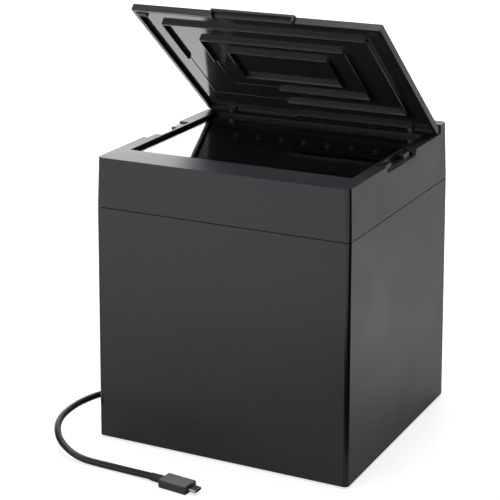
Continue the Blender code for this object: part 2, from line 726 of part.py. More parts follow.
def upper_frame():
    """The top frame: walls, top plate, rear block, glass well, side notches and hinge ears."""
    bottom = SEAM_HEIGHT + SEAM_GAP / 2
    frame = skin_box("upper_frame", bottom, BLOCK_TOP, 0, CORNER_RADIUS)
    frame_half = half_at(bottom)[0] + CUT_OVERRUN
    step = box(
        "frame_step",
        (-frame_half, -CASE_DEPTH, FRAME_TOP),
        (frame_half, BLOCK_FRONT, BLOCK_TOP + CUT_OVERRUN),
    )
    lip_low = bottom - LIP_DEPTH
    lip_high = bottom + FRAME_WALL
    lip = skin_box("frame_lip", lip_low, lip_high, CASE_WALL + FIT_GAP, INNER_CORNER_RADIUS)
    lip_hollow = skin_box(
        "frame_lip_hollow",
        lip_low - CUT_OVERRUN,
        lip_high + CUT_OVERRUN,
        CASE_WALL + FIT_GAP + LIP_THICKNESS,
        INNER_CORNER_RADIUS,
    )
    hollow = skin_box(
        "frame_hollow", lip_high, FRAME_TOP - FRAME_TOP_WALL, FRAME_WALL, INNER_CORNER_RADIUS
    )
    block_half = half_at(BLOCK_TOP)[0] - FRAME_WALL
    block_hollow = box(
        "block_hollow",
        (-block_half, BLOCK_FRONT + BLOCK_WALL, FRAME_TOP - FRAME_TOP_WALL - CUT_OVERRUN),
        (block_half, half_at(BLOCK_TOP)[1] - BLOCK_WALL, BLOCK_TOP - BLOCK_WALL),
    )
    join(frame, lip)
    cut(frame, step, lip_hollow, hollow, block_hollow)
    collar = opening_box("glass_collar", COLLAR_WALL, LEDGE_BOTTOM, FRAME_TOP - JOIN_SINK)
    join(frame, collar)
    for corner, side_x, side_y in CORNERS:
        post = rod(
            "post_" + corner,
            (side_x * POST_X, side_y * POST_Y, POST_BOTTOM),
            (0, 0, 1),
            FRAME_TOP - JOIN_SINK - POST_BOTTOM,
            POST_RADIUS,
        )
        wall_x = half_at(FRAME_TOP)[0] - FRAME_WALL / 2
        wall_y = half_at(FRAME_TOP)[1] - FRAME_WALL / 2
        web = box(
            "post_web_" + corner,
            (min(side_x * POST_X, side_x * wall_x), min(side_y * POST_Y, side_y * wall_y), bottom),
            (
                max(side_x * POST_X, side_x * wall_x),
                max(side_y * POST_Y, side_y * wall_y),
                FRAME_TOP - JOIN_SINK,
            ),
        )
        join(frame, post, web)
    for side_name, side in SIDES:
        shelf = mirrored_box(
            "catch_shelf_" + side_name,
            side,
            OPENING_HALF_WIDTH + COLLAR_WALL - CATCH_SHELF_SINK,
            half_at(FRAME_TOP)[0] - FRAME_WALL + CATCH_SHELF_SINK,
            (NOTCH_FRONT - CATCH_SHELF, catch_floor() - FIT_GAP - CATCH_SHELF),
            (NOTCH_REAR + CATCH_SHELF, catch_floor() - FIT_GAP),
        )
        ear = mirrored_box(
            "ear_" + side_name,
            side,
            EAR_INSIDE,
            EAR_OUTSIDE,
            (HINGE_Y - EAR_RADIUS, FRAME_TOP - JOIN_SINK),
            (HINGE_Y + EAR_RADIUS, HINGE_Z),
        )
        crown = rod(
            "ear_crown_" + side_name,
            (side * EAR_INSIDE, HINGE_Y, HINGE_Z),
            (side, 0, 0),
            EAR_THICKNESS,
            EAR_RADIUS,
            sides=ROUND_SIDES,
        )
        join(frame, shelf, ear, crown)
    well = opening_box(
        "glass_well", 0, LEDGE_TOP, FRAME_TOP + CUT_OVERRUN, OPENING_RADIUS
    )
    through = opening_box(
        "ledge_hole", -LEDGE_WIDTH, LEDGE_BOTTOM - CUT_OVERRUN, LEDGE_TOP + CUT_OVERRUN
    )
    cut(frame, well, through)
    for side_name, side in SIDES:
        notch = mirrored_box(
            "notch_" + side_name,
            side,
            NOTCH_INSIDE,
            half_at(SEAM_HEIGHT)[0] + CUT_OVERRUN,
            (NOTCH_FRONT, NOTCH_FLOOR),
            (NOTCH_REAR, FRAME_TOP + CUT_OVERRUN),
            axis=0,
            radius=NOTCH_RADIUS,
            chosen=lambda middle: middle.y > 0 and middle.z < FRAME_TOP,
        )
        pin_hole = rod(
            "ear_bore_" + side_name,
            (side * (EAR_INSIDE - CUT_OVERRUN), HINGE_Y, HINGE_Z),
            (side, 0, 0),
            EAR_THICKNESS + 2 * CUT_OVERRUN,
            PIN_RADIUS + PIN_GAP,
        )
        cut(frame, notch, pin_hole)
    for corner, side_x, side_y in CORNERS:
        hole = rod(
            "post_hole_" + corner,
            (side_x * POST_X, side_y * POST_Y, POST_BOTTOM - CUT_OVERRUN),
            (0, 0, 1),
            SCREW_GRIP + SCREW_RELIEF + CUT_OVERRUN,
            SCREW_RADIUS + HOLE_GAP,
        )
        cut(frame, hole)
    return dress(frame, BLACK_PLASTIC, 0.36)


def catch_floor():
    return NOTCH_FLOOR + CATCH_RISE - CATCH_BAR_HEIGHT


def side_catches():
    """A bar in each side notch, with a hooked lug in front and a plain lug behind."""
    low_y = NOTCH_FRONT + CATCH_GAP
    high_y = NOTCH_REAR - CATCH_GAP
    inner = NOTCH_INSIDE + CATCH_GAP
    outer = inner + CATCH_WIDTH
    top = FRAME_TOP - CATCH_DROP
    bar_top = NOTCH_FLOOR + CATCH_RISE
    for side_name, side in SIDES:
        catch = mirrored_box(
            "side_catch_" + side_name, side, inner, outer, (low_y, catch_floor()), (high_y, bar_top)
        )
        front_lug = mirrored_box(
            "front_lug_" + side_name,
            side,
            inner,
            outer,
            (low_y, bar_top - JOIN_SINK),
            (low_y + FRONT_LUG_LENGTH, top),
        )
        undercut = mirrored_box(
            "front_lug_undercut_" + side_name,
            side,
            inner - CUT_OVERRUN,
            outer + CUT_OVERRUN,
            (low_y - CUT_OVERRUN, bar_top),
            (low_y + FRONT_LUG_UNDERCUT, top - FRONT_LUG_LIP),
        )
        rear_lug = mirrored_box(
            "rear_lug_" + side_name,
            side,
            inner,
            outer,
            (high_y - REAR_LUG_BACK - REAR_LUG_LENGTH, bar_top - JOIN_SINK),
            (high_y - REAR_LUG_BACK, top),
        )
        join(catch, front_lug, rear_lug)
        cut(catch, undercut)
        dress(catch, DARK_PLASTIC, 0.4)


def glass():
    """The glass pane lies in the well on a frame of foam tape."""
    pane = opening_box("glass_pane", -FIT_GAP, GLASS_BOTTOM, GLASS_TOP, OPENING_RADIUS)
    dress(pane, (0.85, 0.9, 0.9), 0.02)
    tape = opening_box(
        "glass_tape", -FIT_GAP, TAPE_TOP - TAPE_THICKNESS, TAPE_TOP, OPENING_RADIUS
    )
    inside = opening_box(
        "glass_tape_hole",
        -LEDGE_WIDTH,
        TAPE_TOP - TAPE_THICKNESS - CUT_OVERRUN,
        TAPE_TOP + CUT_OVERRUN,
    )
    cut(tape, inside)
    dress(tape, (0.01, 0.01, 0.01), 0.9)


def light_body(name, outset, top, bottom):
    """The light box's shape: a straight skirt under the glass and a funnel down to the camera."""
    half = (LIGHT_HALF_WIDTH + outset, LIGHT_HALF_DEPTH + outset)
    mouth = FUNNEL_HALF_MOUTH + outset
    bm = bmesh.new()
    bmesh.ops.create_cube(bm, size=1)
    for vert in bm.verts:
        vert.co.x = math.copysign(half[0], vert.co.x)
        vert.co.y = math.copysign(half[1], vert.co.y)
        vert.co.z = top if vert.co.z > 0 else LIGHT_BEND
    floor = min(bm.faces, key=lambda face: face.calc_center_median().z)
    grown = bmesh.ops.extrude_face_region(bm, geom=[floor])
    for vert in grown["geom"]:
        if isinstance(vert, bmesh.types.BMVert):
            vert.co.x = math.copysign(mouth, vert.co.x)
            vert.co.y = math.copysign(mouth, vert.co.y)
            vert.co.z = bottom
    bmesh.ops.delete(bm, geom=[face for face in bm.faces if face == floor], context="FACES_ONLY")
    bmesh.ops.translate(bm, verts=bm.verts, vec=(0, OPENING_CENTRE, 0))
    return mesh_object(name, bm)


def light_box():
    """The black box under the glass keeps stray light out and carries the lamps."""
    shell = light_body("light_box", LIGHT_WALL, LIGHT_TOP, LIGHT_BOTTOM)
    hollow = light_body(
        "light_box_hollow", 0, LIGHT_TOP + CUT_OVERRUN, LIGHT_BOTTOM - CUT_OVERRUN
    )
    cut(shell, hollow)
    depth = LIGHT_HALF_DEPTH + LIGHT_WALL + CUT_OVERRUN
    window = box(
        "lamp_windows",
        (-WINDOW_HALF_WIDTH, OPENING_CENTRE - depth, WINDOW_BOTTOM),
        (WINDOW_HALF_WIDTH, OPENING_CENTRE + depth, WINDOW_TOP),
    )
    cut(shell, window)
    dress(shell, (0.012, 0.012, 0.013), 0.6)


def facing_box(name, side, near, far, half_width, low, high):
    """A box on the light box's front or rear wall, between two distances from its middle."""
    ends = sorted((OPENING_CENTRE + side * near, OPENING_CENTRE + side * far))
    return box(name, (-half_width, ends[0], low), (half_width, ends[1], high))


def lamp_places():
    """Distances from the wall: lens bar, board and holder, one behind the other."""
    lens_near = LIGHT_HALF_DEPTH + LIGHT_WALL + FIT_GAP
    lens_far = lens_near + LENS_BAR_THICKNESS
    board_near = lens_far + FIT_GAP
    board_far = board_near + LAMP_BOARD_THICKNESS
    holder_far = board_far + FIT_GAP + HOLDER_WALL
    return lens_near, lens_far, board_near, board_far, holder_far


def lamp_rows():
    """A row of lamps behind the front wall and one behind the rear wall, shining through windows."""
    lens_near, lens_far, board_near, board_far, holder_far = lamp_places()
    half = WINDOW_HALF_WIDTH + LENS_BAR_LAP
    low = WINDOW_BOTTOM - LENS_BAR_LAP
    high = WINDOW_TOP + LENS_BAR_LAP
    middle = (WINDOW_BOTTOM + WINDOW_TOP) / 2
    for side_name, side in (("front", -1), ("rear", 1)):
        bar = facing_box("lamp_lens_" + side_name, side, lens_near, lens_far, half, low, high)
        for index in range(LAMP_COUNT):
            place_x = LAMP_PITCH * (index - (LAMP_COUNT - 1) / 2)
            start_y = OPENING_CENTRE + side * (lens_near + JOIN_SINK)
            lamp = rod(
                f"lamp_{side_name}_{index}",
                (place_x, start_y, middle),
                (0, -side, 0),
                LAMP_REACH + JOIN_SINK,
                LAMP_RADIUS,
            )
            join(bar, lamp)
        dress(bar, (0.8, 0.82, 0.85), 0.15)
        board = facing_box("lamp_board_" + side_name, side, board_near, board_far, half, low, high)
        dress(board, (0.75, 0.75, 0.72), 0.5)
        holder = facing_box(
            "lamp_holder_" + side_name,
            side,
            lens_near,
            holder_far,
            half,
            low - FIT_GAP - HOLDER_WALL,
            high + FIT_GAP + HOLDER_WALL,
        )
        room = facing_box(
            "lamp_holder_room_" + side_name,
            side,
            lens_near - CUT_OVERRUN,
            board_far + FIT_GAP,
            half + CUT_OVERRUN,
            low - FIT_GAP,
            high + FIT_GAP,
        )
        slot = facing_box(
            "lamp_holder_slot_" + side_name,
            side,
            board_far,
            holder_far + CUT_OVERRUN,
            HOLDER_SLOT_HALF,
            low + LENS_BAR_LAP,
            high - LENS_BAR_LAP,
        )
        cut(holder, room, slot)
        dress(holder, DARK_PLASTIC, 0.5)


def main_board():
    """The circuit board on its posts, with the image processor and two screws."""
    half_width = BOARD_WIDTH / 2
    half_depth = BOARD_DEPTH / 2
    board = box(
        "main_board",
        (BOARD_CENTRE_X - half_width, BOARD_CENTRE_Y - half_depth, BOARD_BOTTOM),
        (BOARD_CENTRE_X + half_width, BOARD_CENTRE_Y + half_depth, BOARD_TOP),
    )
    for side in (-1, 1):
        place = board_corner(side, side)
        hole = rod(
            f"board_hole_{side}",
            (*place, BOARD_BOTTOM - CUT_OVERRUN),
            (0, 0, 1),
            BOARD_THICKNESS + 2 * CUT_OVERRUN,
            SMALL_SCREW_RADIUS + HOLE_GAP,
        )
        cut(board, hole)
    dress(board, BOARD_GREEN, 0.4)
    for corner, side in (("front", -1), ("rear", 1)):
        screw(
            "board_screw_" + corner,
            (*board_corner(side, side), BOARD_TOP + FIT_GAP),
            (0, 0, -1),
            SMALL_SCREW_GRIP,
            SMALL_SCREW_RADIUS,
            SMALL_HEAD_RADIUS,
            SMALL_HEAD_HEIGHT,
        )
    half_chip = CHIP_WIDTH / 2
    chip = box(
        "image_processor",
        (BOARD_CENTRE_X - half_chip, BOARD_CENTRE_Y - half_chip, BOARD_TOP + FIT_GAP),
        (BOARD_CENTRE_X + half_chip, BOARD_CENTRE_Y + half_chip, BOARD_TOP + FIT_GAP + CHIP_HEIGHT),
    )
    dress(chip, (0.02, 0.02, 0.022), 0.45)


def square(name, half, bottom, top, radius=0):
    """A square block on the lens axis, which stands under the middle of the glass."""
    return box(
        name,
        (-half, OPENING_CENTRE - half, bottom),
        (half, OPENING_CENTRE + half, top),
        radius=radius,
    )


def camera_tower():
    """The hollow stand that carries the camera and meets the funnel's mouth."""
    foot = PLATE_TOP + FIT_GAP
    tower = square("camera_tower", TOWER_HALF_WIDTH, foot, TOWER_TOP)
    hollow = square(
        "tower_hollow",
        TOWER_HALF_WIDTH - TOWER_WALL,
        foot - CUT_OVERRUN,
        TOWER_TOP - TOWER_WALL,
    )
    window = box(
        "tower_window",
        (-TOWER_HALF_WIDTH - CUT_OVERRUN, OPENING_CENTRE - TOWER_WINDOW_HALF, foot - CUT_OVERRUN),
        (0, OPENING_CENTRE + TOWER_WINDOW_HALF, TOWER_WINDOW_TOP),
    )
    slot = box(
        "ribbon_slot",
        (
            ribbon_x() - RIBBON_THICKNESS,
            OPENING_CENTRE - RIBBON_WIDTH / 2 - FIT_GAP,
            TOWER_TOP - TOWER_WALL - CUT_OVERRUN,
        ),
        (
            ribbon_x() + RIBBON_THICKNESS,
            OPENING_CENTRE + RIBBON_WIDTH / 2 + FIT_GAP,
            TOWER_TOP + CUT_OVERRUN,
        ),
    )
    cut(tower, hollow, window, slot)
    dress(tower, DARK_PLASTIC, 0.55)


def ribbon_x():
    """Where the ribbon cable hangs, just outside the camera board."""
    return -CAMERA_BOARD_HALF - RIBBON_OUT


def camera():
    """Board, sensor, lens holder, lens barrel and front lens, stacked on the stand."""
    board_low = TOWER_TOP + FIT_GAP
    board_high = board_low + BOARD_THICKNESS
    board = square("camera_board", CAMERA_BOARD_HALF, board_low, board_high)
    dress(board, BOARD_GREEN, 0.4)
    sensor_low = board_high + FIT_GAP
    sensor = square("image_sensor", SENSOR_HALF, sensor_low, sensor_low + SENSOR_HEIGHT)
    dress(sensor, (0.05, 0.06, 0.09), 0.15)
    holder_top = sensor_low + LENS_HOLDER_HEIGHT
    holder = square("lens_holder", HOLDER_HALF, sensor_low, holder_top)
    room = square(
        "lens_holder_room",
        HOLDER_HALF - LENS_HOLDER_WALL,
        sensor_low - CUT_OVERRUN,
        holder_top - LENS_HOLDER_TOP,
    )
    axis = (0, OPENING_CENTRE, 0)
    bore = rod(
        "lens_holder_bore",
        (axis[0], axis[1], holder_top - LENS_HOLDER_TOP - CUT_OVERRUN),
        (0, 0, 1),
        LENS_HOLDER_TOP + 2 * CUT_OVERRUN,
        BARREL_RADIUS + HOLE_GAP,
        sides=ROUND_SIDES,
    )
    cut(holder, room, bore)
    dress(holder, DARK_PLASTIC, 0.5)
    flange_low = holder_top + FIT_GAP
    top = flange_low + BARREL_RISE
    inner = BARREL_RADIUS - BARREL_WALL
    seat = top - LENS_HEIGHT
    flange_radius = BARREL_RADIUS + BARREL_FLANGE
    barrel_profile = (
        (inner, top),
        (flange_radius, top),
        (flange_radius, flange_low),
        (BARREL_RADIUS, flange_low),
        (BARREL_RADIUS, holder_top - BARREL_SINK),
        (inner - LENS_SEAT, holder_top - BARREL_SINK),
        (inner - LENS_SEAT, seat),
        (inner, seat),
        (inner, top),
    )
    barrel = turned("lens_barrel", barrel_profile, axis)
    dress(barrel, (0.02, 0.02, 0.02), 0.35)
    rim = inner - FIT_GAP
    low = seat + FIT_GAP
    crown_high = top - FIT_GAP
    lens_profile = (
        (0, crown_high + LENS_CROWN),
        (rim / 2, crown_high + LENS_CROWN * 3 / 4),
        (rim, crown_high),
        (rim, low),
        (0, low),
    )
    lens = turned("front_lens", lens_profile, axis)
    dress(lens, (0.25, 0.3, 0.45), 0.03)


def ribbon_cable():
    """A flat cable runs from the camera board through the slot and down to the main board."""
    x = ribbon_x()
    start = -CAMERA_BOARD_HALF - FIT_GAP
    high = TOWER_TOP + FIT_GAP + BOARD_THICKNESS / 2
    low = BOARD_BOTTOM + BOARD_THICKNESS / 2
    end = BOARD_RIGHT + FIT_GAP
    path = ((start, high), (x, high), (x, low + RIBBON_OUT), (x - RIBBON_OUT, low), (end, low))
    bm = bmesh.new()
    rows = []
    for place_x, place_z in path:
        front = bm.verts.new((place_x, OPENING_CENTRE - RIBBON_WIDTH / 2, place_z))
        rear = bm.verts.new((place_x, OPENING_CENTRE + RIBBON_WIDTH / 2, place_z))
        rows.append((front, rear))
    for first, second in zip(rows, rows[1:]):
        bm.faces.new((first[0], first[1], second[1], second[0]))
    ribbon = mesh_object("ribbon_cable", bm)
    sheet = ribbon.modifiers.new("thickness", "SOLIDIFY")
    sheet.thickness = RIBBON_THICKNESS
    sheet.offset = 0
    sheet.use_even_offset = True
    dress(ribbon, (0.7, 0.68, 0.6), 0.4)


def lamp_wires():
    """One wire from each lamp board runs outside the funnel to the main board's edge."""
    board_near, board_far = lamp_places()[2:4]
    high = WINDOW_BOTTOM - LENS_BAR_LAP - HOLDER_WALL - 2 * FIT_GAP
    low = (BOARD_BOTTOM + BOARD_TOP) / 2
    for side_name, side in (("front", -1), ("rear", 1)):
        lamps_y = OPENING_CENTRE + side * (board_near + board_far) / 2
        edge_y = BOARD_CENTRE_Y + side * (BOARD_DEPTH / 2 + FIT_GAP)
        free = [(BOARD_CENTRE_X, lamps_y, high - CORD_STUB)]
        for out_share, drop_share in LAMP_WIRE_SHARES:
            place_y = edge_y + (lamps_y - edge_y) * out_share
            free.append((BOARD_CENTRE_X, place_y, high + (low - high) * drop_share))
        free.append((BOARD_CENTRE_X, edge_y + side * CORD_STUB, low))
        start = (BOARD_CENTRE_X, lamps_y, high)
        end = (BOARD_CENTRE_X, edge_y, low)
        points = [start, *smooth_route(free, WIRE_SPACING), end]
        wire = tube("lamp_wire_" + side_name, points, WIRE_RADIUS, 1)
        dress(wire, (0.5, 0.03, 0.02), 0.5)


def gland_reach():
    """Distances from the case's middle: inner end, wall inside, wall outside and snout tip."""
    outside = half_at(GLAND_Z)[0] + FIT_GAP
    inside = half_at(GLAND_Z)[0] - CASE_WALL - FIT_GAP
    return inside - GLAND_FLANGE, inside, outside, outside + GLAND_FLANGE + GLAND_SNOUT


def cable_gland():
    """The strain relief that snaps into the left wall."""
    inner_end, inside, outside, tip = gland_reach()
    profile = (
        (0, tip),
        (GLAND_SNOUT_RADIUS, tip),
        (GLAND_NECK_RADIUS, outside + GLAND_FLANGE),
        (GLAND_FLANGE_RADIUS, outside + GLAND_FLANGE),
        (GLAND_FLANGE_RADIUS, outside),
        (GLAND_NECK_RADIUS, outside),
        (GLAND_NECK_RADIUS, inside),
        (GLAND_FLANGE_RADIUS, inside),
        (GLAND_FLANGE_RADIUS, inner_end),
        (0, inner_end),
    )
    gland = turned("cable_gland", profile, (0, GLAND_Y, GLAND_Z), (-1, 0, 0))
    dress(gland, (0.015, 0.015, 0.015), 0.7)


def plug_point(ahead, aside=0, height=MOULD_HEIGHT / 2):
    """A point this far along the plug from the middle of its mould, and aside of it."""
    return Vector(
        (
            PLUG_X + ahead * math.cos(PLUG_TURN) - aside * math.sin(PLUG_TURN),
            PLUG_Y + ahead * math.sin(PLUG_TURN) + aside * math.cos(PLUG_TURN),
            height,
        )
    )


def plug_box(name, start, stop, width, height, axis=0, radius=0):
    """A block along the plug's axis, centred on it."""
    block = box(
        name,
        (start, -width / 2, -height / 2),
        (stop, width / 2, height / 2),
        axis=axis,
        radius=radius,
    )
    block.location = plug_point(0)
    block.rotation_euler.z = PLUG_TURN
    return block


def cord_and_plug():
    """The cord leaves the gland, drops to the floor and runs to its plug."""
    tip = gland_reach()[3]
    boot_back = -MOULD_LENGTH / 2 - FIT_GAP - BOOT_LENGTH
    start = (-tip - FIT_GAP, GLAND_Y, GLAND_Z)
    end = plug_point(boot_back - FIT_GAP)
    after_start = (-tip - FIT_GAP - CORD_STUB, GLAND_Y, GLAND_Z)
    before_end = plug_point(boot_back - FIT_GAP - CORD_STUB)
    free = smooth_route([after_start, *CORD_ROUTE, before_end], CORD_SPACING)
    cord = tube("usb_cord", [start, *free, end], CORD_RADIUS, CORD_RESOLUTION)
    dress(cord, (0.02, 0.02, 0.021), 0.42)
    boot_profile = (
        (0, BOOT_LENGTH),
        (BOOT_RADIUS, BOOT_LENGTH),
        (BOOT_TIP_RADIUS, 0),
        (0, 0),
    )
    along = plug_point(1) - plug_point(0)
    boot = turned("plug_boot", boot_profile, plug_point(boot_back), along)
    dress(boot, (0.02, 0.02, 0.021), 0.55)
    mould = plug_box(
        "plug_mould",
        -MOULD_LENGTH / 2,
        MOULD_LENGTH / 2,
        MOULD_WIDTH,
        MOULD_HEIGHT,
        radius=MOULD_BEVEL,
    )
    dress(mould, (0.035, 0.035, 0.036), 0.5)
    shell_start = MOULD_LENGTH / 2 + FIT_GAP
    shell_stop = shell_start + SHELL_LENGTH
    shell = plug_box(
        "plug_shell",
        shell_start,
        shell_stop,
        SHELL_WIDTH,
        SHELL_HEIGHT,
        radius=SHELL_HEIGHT / 2 - SHELL_WALL,
    )
    mouth = plug_box(
        "plug_mouth",
        shell_start + SHELL_BACK,
        shell_stop + CUT_OVERRUN,
        SHELL_WIDTH - 2 * SHELL_WALL,
        SHELL_HEIGHT - 2 * SHELL_WALL,
        radius=SHELL_HEIGHT / 2 - 2 * SHELL_WALL,
    )
    cut(shell, mouth)
    dress(shell, (0.75, 0.75, 0.76), 0.25, 1.0)
    tongue_start = shell_start + SHELL_BACK + FIT_GAP
    tongue = plug_box(
        "plug_tongue", tongue_start, tongue_start + TONGUE_LENGTH, TONGUE_WIDTH, TONGUE_HEIGHT
    )
    dress(tongue, (0.01, 0.01, 0.01), 0.5)


def inner_lead():
    """The cord's inner end runs from the gland to the main board."""
    start = Vector((-gland_reach()[0] + FIT_GAP, GLAND_Y, GLAND_Z))
    end = Vector(
        (
            BOARD_LEFT + LEAD_INSET,
            BOARD_CENTRE_Y - BOARD_DEPTH / 2 - FIT_GAP,
            (BOARD_BOTTOM + BOARD_TOP) / 2,
        )
    )
    before_end = end - Vector((0, CORD_STUB, 0))
    free = [start]
    for shares in INNER_LEAD_SHARES:
        way = before_end - start
        free.append(start + Vector([way[k] * shares[k] for k in range(3)]))
    free.append(before_end)
    lead = tube("inner_lead", [*smooth_route(free, LEAD_SPACING), end], WIRE_RADIUS, CORD_RESOLUTION)
    dress(lead, (0.03, 0.03, 0.03), 0.5)


def hinge_empty():
    """The frame of the lid: its X axis is the hinge axis, and it is turned to hold the lid open."""
    hinge = bpy.data.objects.new("lid_hinge", None)
    PARTS.objects.link(hinge)
    hinge.location = (0, HINGE_Y, HINGE_Z)
    hinge.rotation_euler.x = -OPEN_ANGLE
    return hinge


def lid_shell(hinge):
    """The lid's outer shell, with its hinge bar, stop heels and finger tab."""
    half = LID_HALF_THICKNESS
    shell = box(
        "lid_shell", (-LID_HALF_WIDTH, -LID_LENGTH, -half), (LID_HALF_WIDTH, 0, half), hinge
    )
    barrel = rod(
        "lid_barrel",
        (-LID_HALF_WIDTH, 0, 0),
        (1, 0, 0),
        2 * LID_HALF_WIDTH,
        half,
        hinge,
        ROUND_SIDES,
    )
    tab = box(
        "finger_tab",
        (-TAB_HALF_WIDTH, -LID_LENGTH - TAB_REACH, -half),
        (TAB_HALF_WIDTH, -LID_LENGTH + JOIN_SINK, half),
        hinge,
        radius=TAB_REACH / 2,
        chosen=lambda middle: middle.y < -LID_LENGTH,
    )
    join(shell, barrel, tab)
    for side_name, side in SIDES:
        heel_place = side * HEEL_PLACE_SHARE * BAR_HALF_LENGTH
        join(shell, stop_heel("stop_heel_" + side_name, heel_place, hinge))
    inside = LID_HALF_WIDTH - RIM_WIDTH
    recess = box(
        "lid_recess",
        (-inside, -LID_LENGTH + RIM_WIDTH, -half - CUT_OVERRUN),
        (inside, -BAR_DEPTH, half - LID_SKIN),
        hinge,
    )
    scoop_run = TAB_REACH + SCOOP_REACH
    scoop_rise = LID_THICKNESS - TAB_SKIN
    scoop_radius = (scoop_run**2 + scoop_rise**2) / (2 * scoop_rise)
    scoop_half = TAB_HALF_WIDTH - TAB_CHEEK
    scoop = rod(
        "finger_scoop",
        (-scoop_half, -LID_LENGTH - TAB_REACH, half - TAB_SKIN - scoop_radius),
        (1, 0, 0),
        2 * scoop_half,
        scoop_radius,
        hinge,
        2 * ROUND_SIDES,
    )
    low_bar = box(
        "low_bar",
        (-BAR_HALF_LENGTH + RIM_WIDTH, -BAR_DEPTH - CUT_OVERRUN, -half - CUT_OVERRUN),
        (-BAR_LOW_END, -BAR_BACK, -half + BAR_LOW_DEPTH),
        hinge,
    )
    cut(shell, recess, scoop, low_bar)
    for side_name, side in SIDES:
        notch_far = EAR_OUTSIDE + EAR_CLEARANCE
        near, far = sorted((side * BAR_HALF_LENGTH, side * notch_far))
        notch = box(
            "ear_notch_" + side_name,
            (near, -EAR_RADIUS - EAR_CLEARANCE, -half - CUT_OVERRUN),
            (far, half + CUT_OVERRUN, half + CUT_OVERRUN),
            hinge,
        )
        near, far = sorted((side * (notch_far - JOIN_SINK), side * inside))
        pocket = box(
            "bar_end_pocket_" + side_name,
            (near, -BAR_DEPTH - CUT_OVERRUN, -half - CUT_OVERRUN),
            (far, -BAR_BACK, half - LID_SKIN),
            hinge,
        )
        bore = rod(
            "pin_bore_" + side_name,
            (side * (BAR_HALF_LENGTH + CUT_OVERRUN), 0, 0),
            (-side, 0, 0),
            PIN_DEPTH + FIT_GAP + CUT_OVERRUN,
            PIN_RADIUS + PIN_GAP,
            hinge,
        )
        cut(shell, notch, pocket, bore)
    return dress(shell, BLACK_PLASTIC, 0.36)


def stop_heel(name, place_x, hinge):
    """A heel on the hinge bar that meets the frame's ledge when the lid is fully open."""
    room = HINGE_Z - FRAME_TOP - FIT_GAP
    half = HEEL_THICKNESS / 2
    length = (room - half * math.cos(HEEL_ANGLE)) / math.sin(HEEL_ANGLE)
    heel = box(
        name, (-HEEL_WIDTH / 2, 0, -half), (HEEL_WIDTH / 2, length, half), hinge
    )
    heel.location = (place_x, 0, 0)
    heel.rotation_euler.x = OPEN_ANGLE - HEEL_ANGLE
    return heel


def rib_frame(name, shares, hinge):
    """A rectangle of ribs on the liner, as high as the lid's recess is deep."""
    half_width = shares[0] * LID_HALF_WIDTH
    near = shares[1] * LID_LENGTH
    far = shares[2] * LID_LENGTH
    low = -LID_HALF_THICKNESS
    high = liner_face() + JOIN_SINK
    frame = box(
        name, (-half_width, -LID_LENGTH + near, low), (half_width, -LID_LENGTH + far, high), hinge
    )
    inside = half_width - RIB_THICKNESS
    hole = box(
        name + "_hole",
        (-inside, -LID_LENGTH + near + RIB_THICKNESS, low - CUT_OVERRUN),
        (inside, -LID_LENGTH + far - RIB_THICKNESS, high + CUT_OVERRUN),
        hinge,
    )
    cut(frame, hole)
    return frame


def liner_face():
    """The liner's visible face, measured from the hinge axis."""
    return LID_HALF_THICKNESS - LID_SKIN - HINGE_GAP - LINER_THICKNESS


def lid_liner(hinge):
    """The ribbed inner plate. One quarter of its two outer rib frames is nearly flat."""
    inside = LID_HALF_WIDTH - RIM_WIDTH - FIT_GAP
    face = liner_face()
    liner = box(
        "lid_liner",
        (-inside, -LID_LENGTH + RIM_WIDTH + FIT_GAP, face),
        (inside, -BAR_DEPTH - FIT_GAP, face + LINER_THICKNESS),
        hinge,
    )
    inner = rib_frame("inner_ribs", INNER_RIB_SHARES, hinge)
    join(liner, inner)
    low_start = -LID_LENGTH + LOW_RIB_START_SHARE * LID_LENGTH
    for name, shares in (("outer_ribs", OUTER_RIB_SHARES), ("middle_ribs", MIDDLE_RIB_SHARES)):
        frame = rib_frame(name, shares, hinge)
        flat = box(
            name + "_flat",
            (-LID_HALF_WIDTH, low_start, -LID_HALF_THICKNESS - CUT_OVERRUN),
            (-BAR_LOW_END, 0, face - LOW_RIB_HEIGHT),
            hinge,
        )
        cut(frame, flat)
        join(liner, frame)
    dress(liner, (0.012, 0.012, 0.013), 0.12)


def lid_bumpers(hinge):
    """Two rubber bumpers keep the closed lid off the frame."""
    low = -LID_HALF_THICKNESS - BUMPER_PROUD
    high = liner_face() - FIT_GAP
    outer = LID_HALF_WIDTH - RIM_WIDTH - FIT_GAP
    near = -LID_LENGTH + RIM_WIDTH + FIT_GAP
    for side_name, side in SIDES:
        ends = sorted((side * outer, side * (outer - BUMPER_WIDTH)))
        bumper = box(
            "bumper_" + side_name, (ends[0], near, low), (ends[1], near + BUMPER_DEPTH, high), hinge
        )
        dress(bumper, (0.03, 0.03, 0.03), 0.7)


def hinge_hardware(hinge):
    """Each pin sits in the lid's bar and runs through a friction washer and the frame's ear."""
    for side_name, side in SIDES:
        pin = rod(
            "hinge_pin_" + side_name,
            (side * EAR_OUTSIDE, 0, 0),
            (-side, 0, 0),
            EAR_OUTSIDE - BAR_HALF_LENGTH + PIN_DEPTH,
            PIN_RADIUS,
            hinge,
        )
        dress(pin, STEEL, 0.3, 1.0)
        washer = turned(
            "friction_washer_" + side_name,
            ring_profile(WASHER_RADIUS, PIN_RADIUS + PIN_GAP, WASHER_THICKNESS),
            (side * (BAR_HALF_LENGTH + HINGE_GAP), 0, 0),
            (side, 0, 0),
            hinge,
            SMALL_SIDES,
        )
        dress(washer, (0.6, 0.6, 0.58), 0.4)


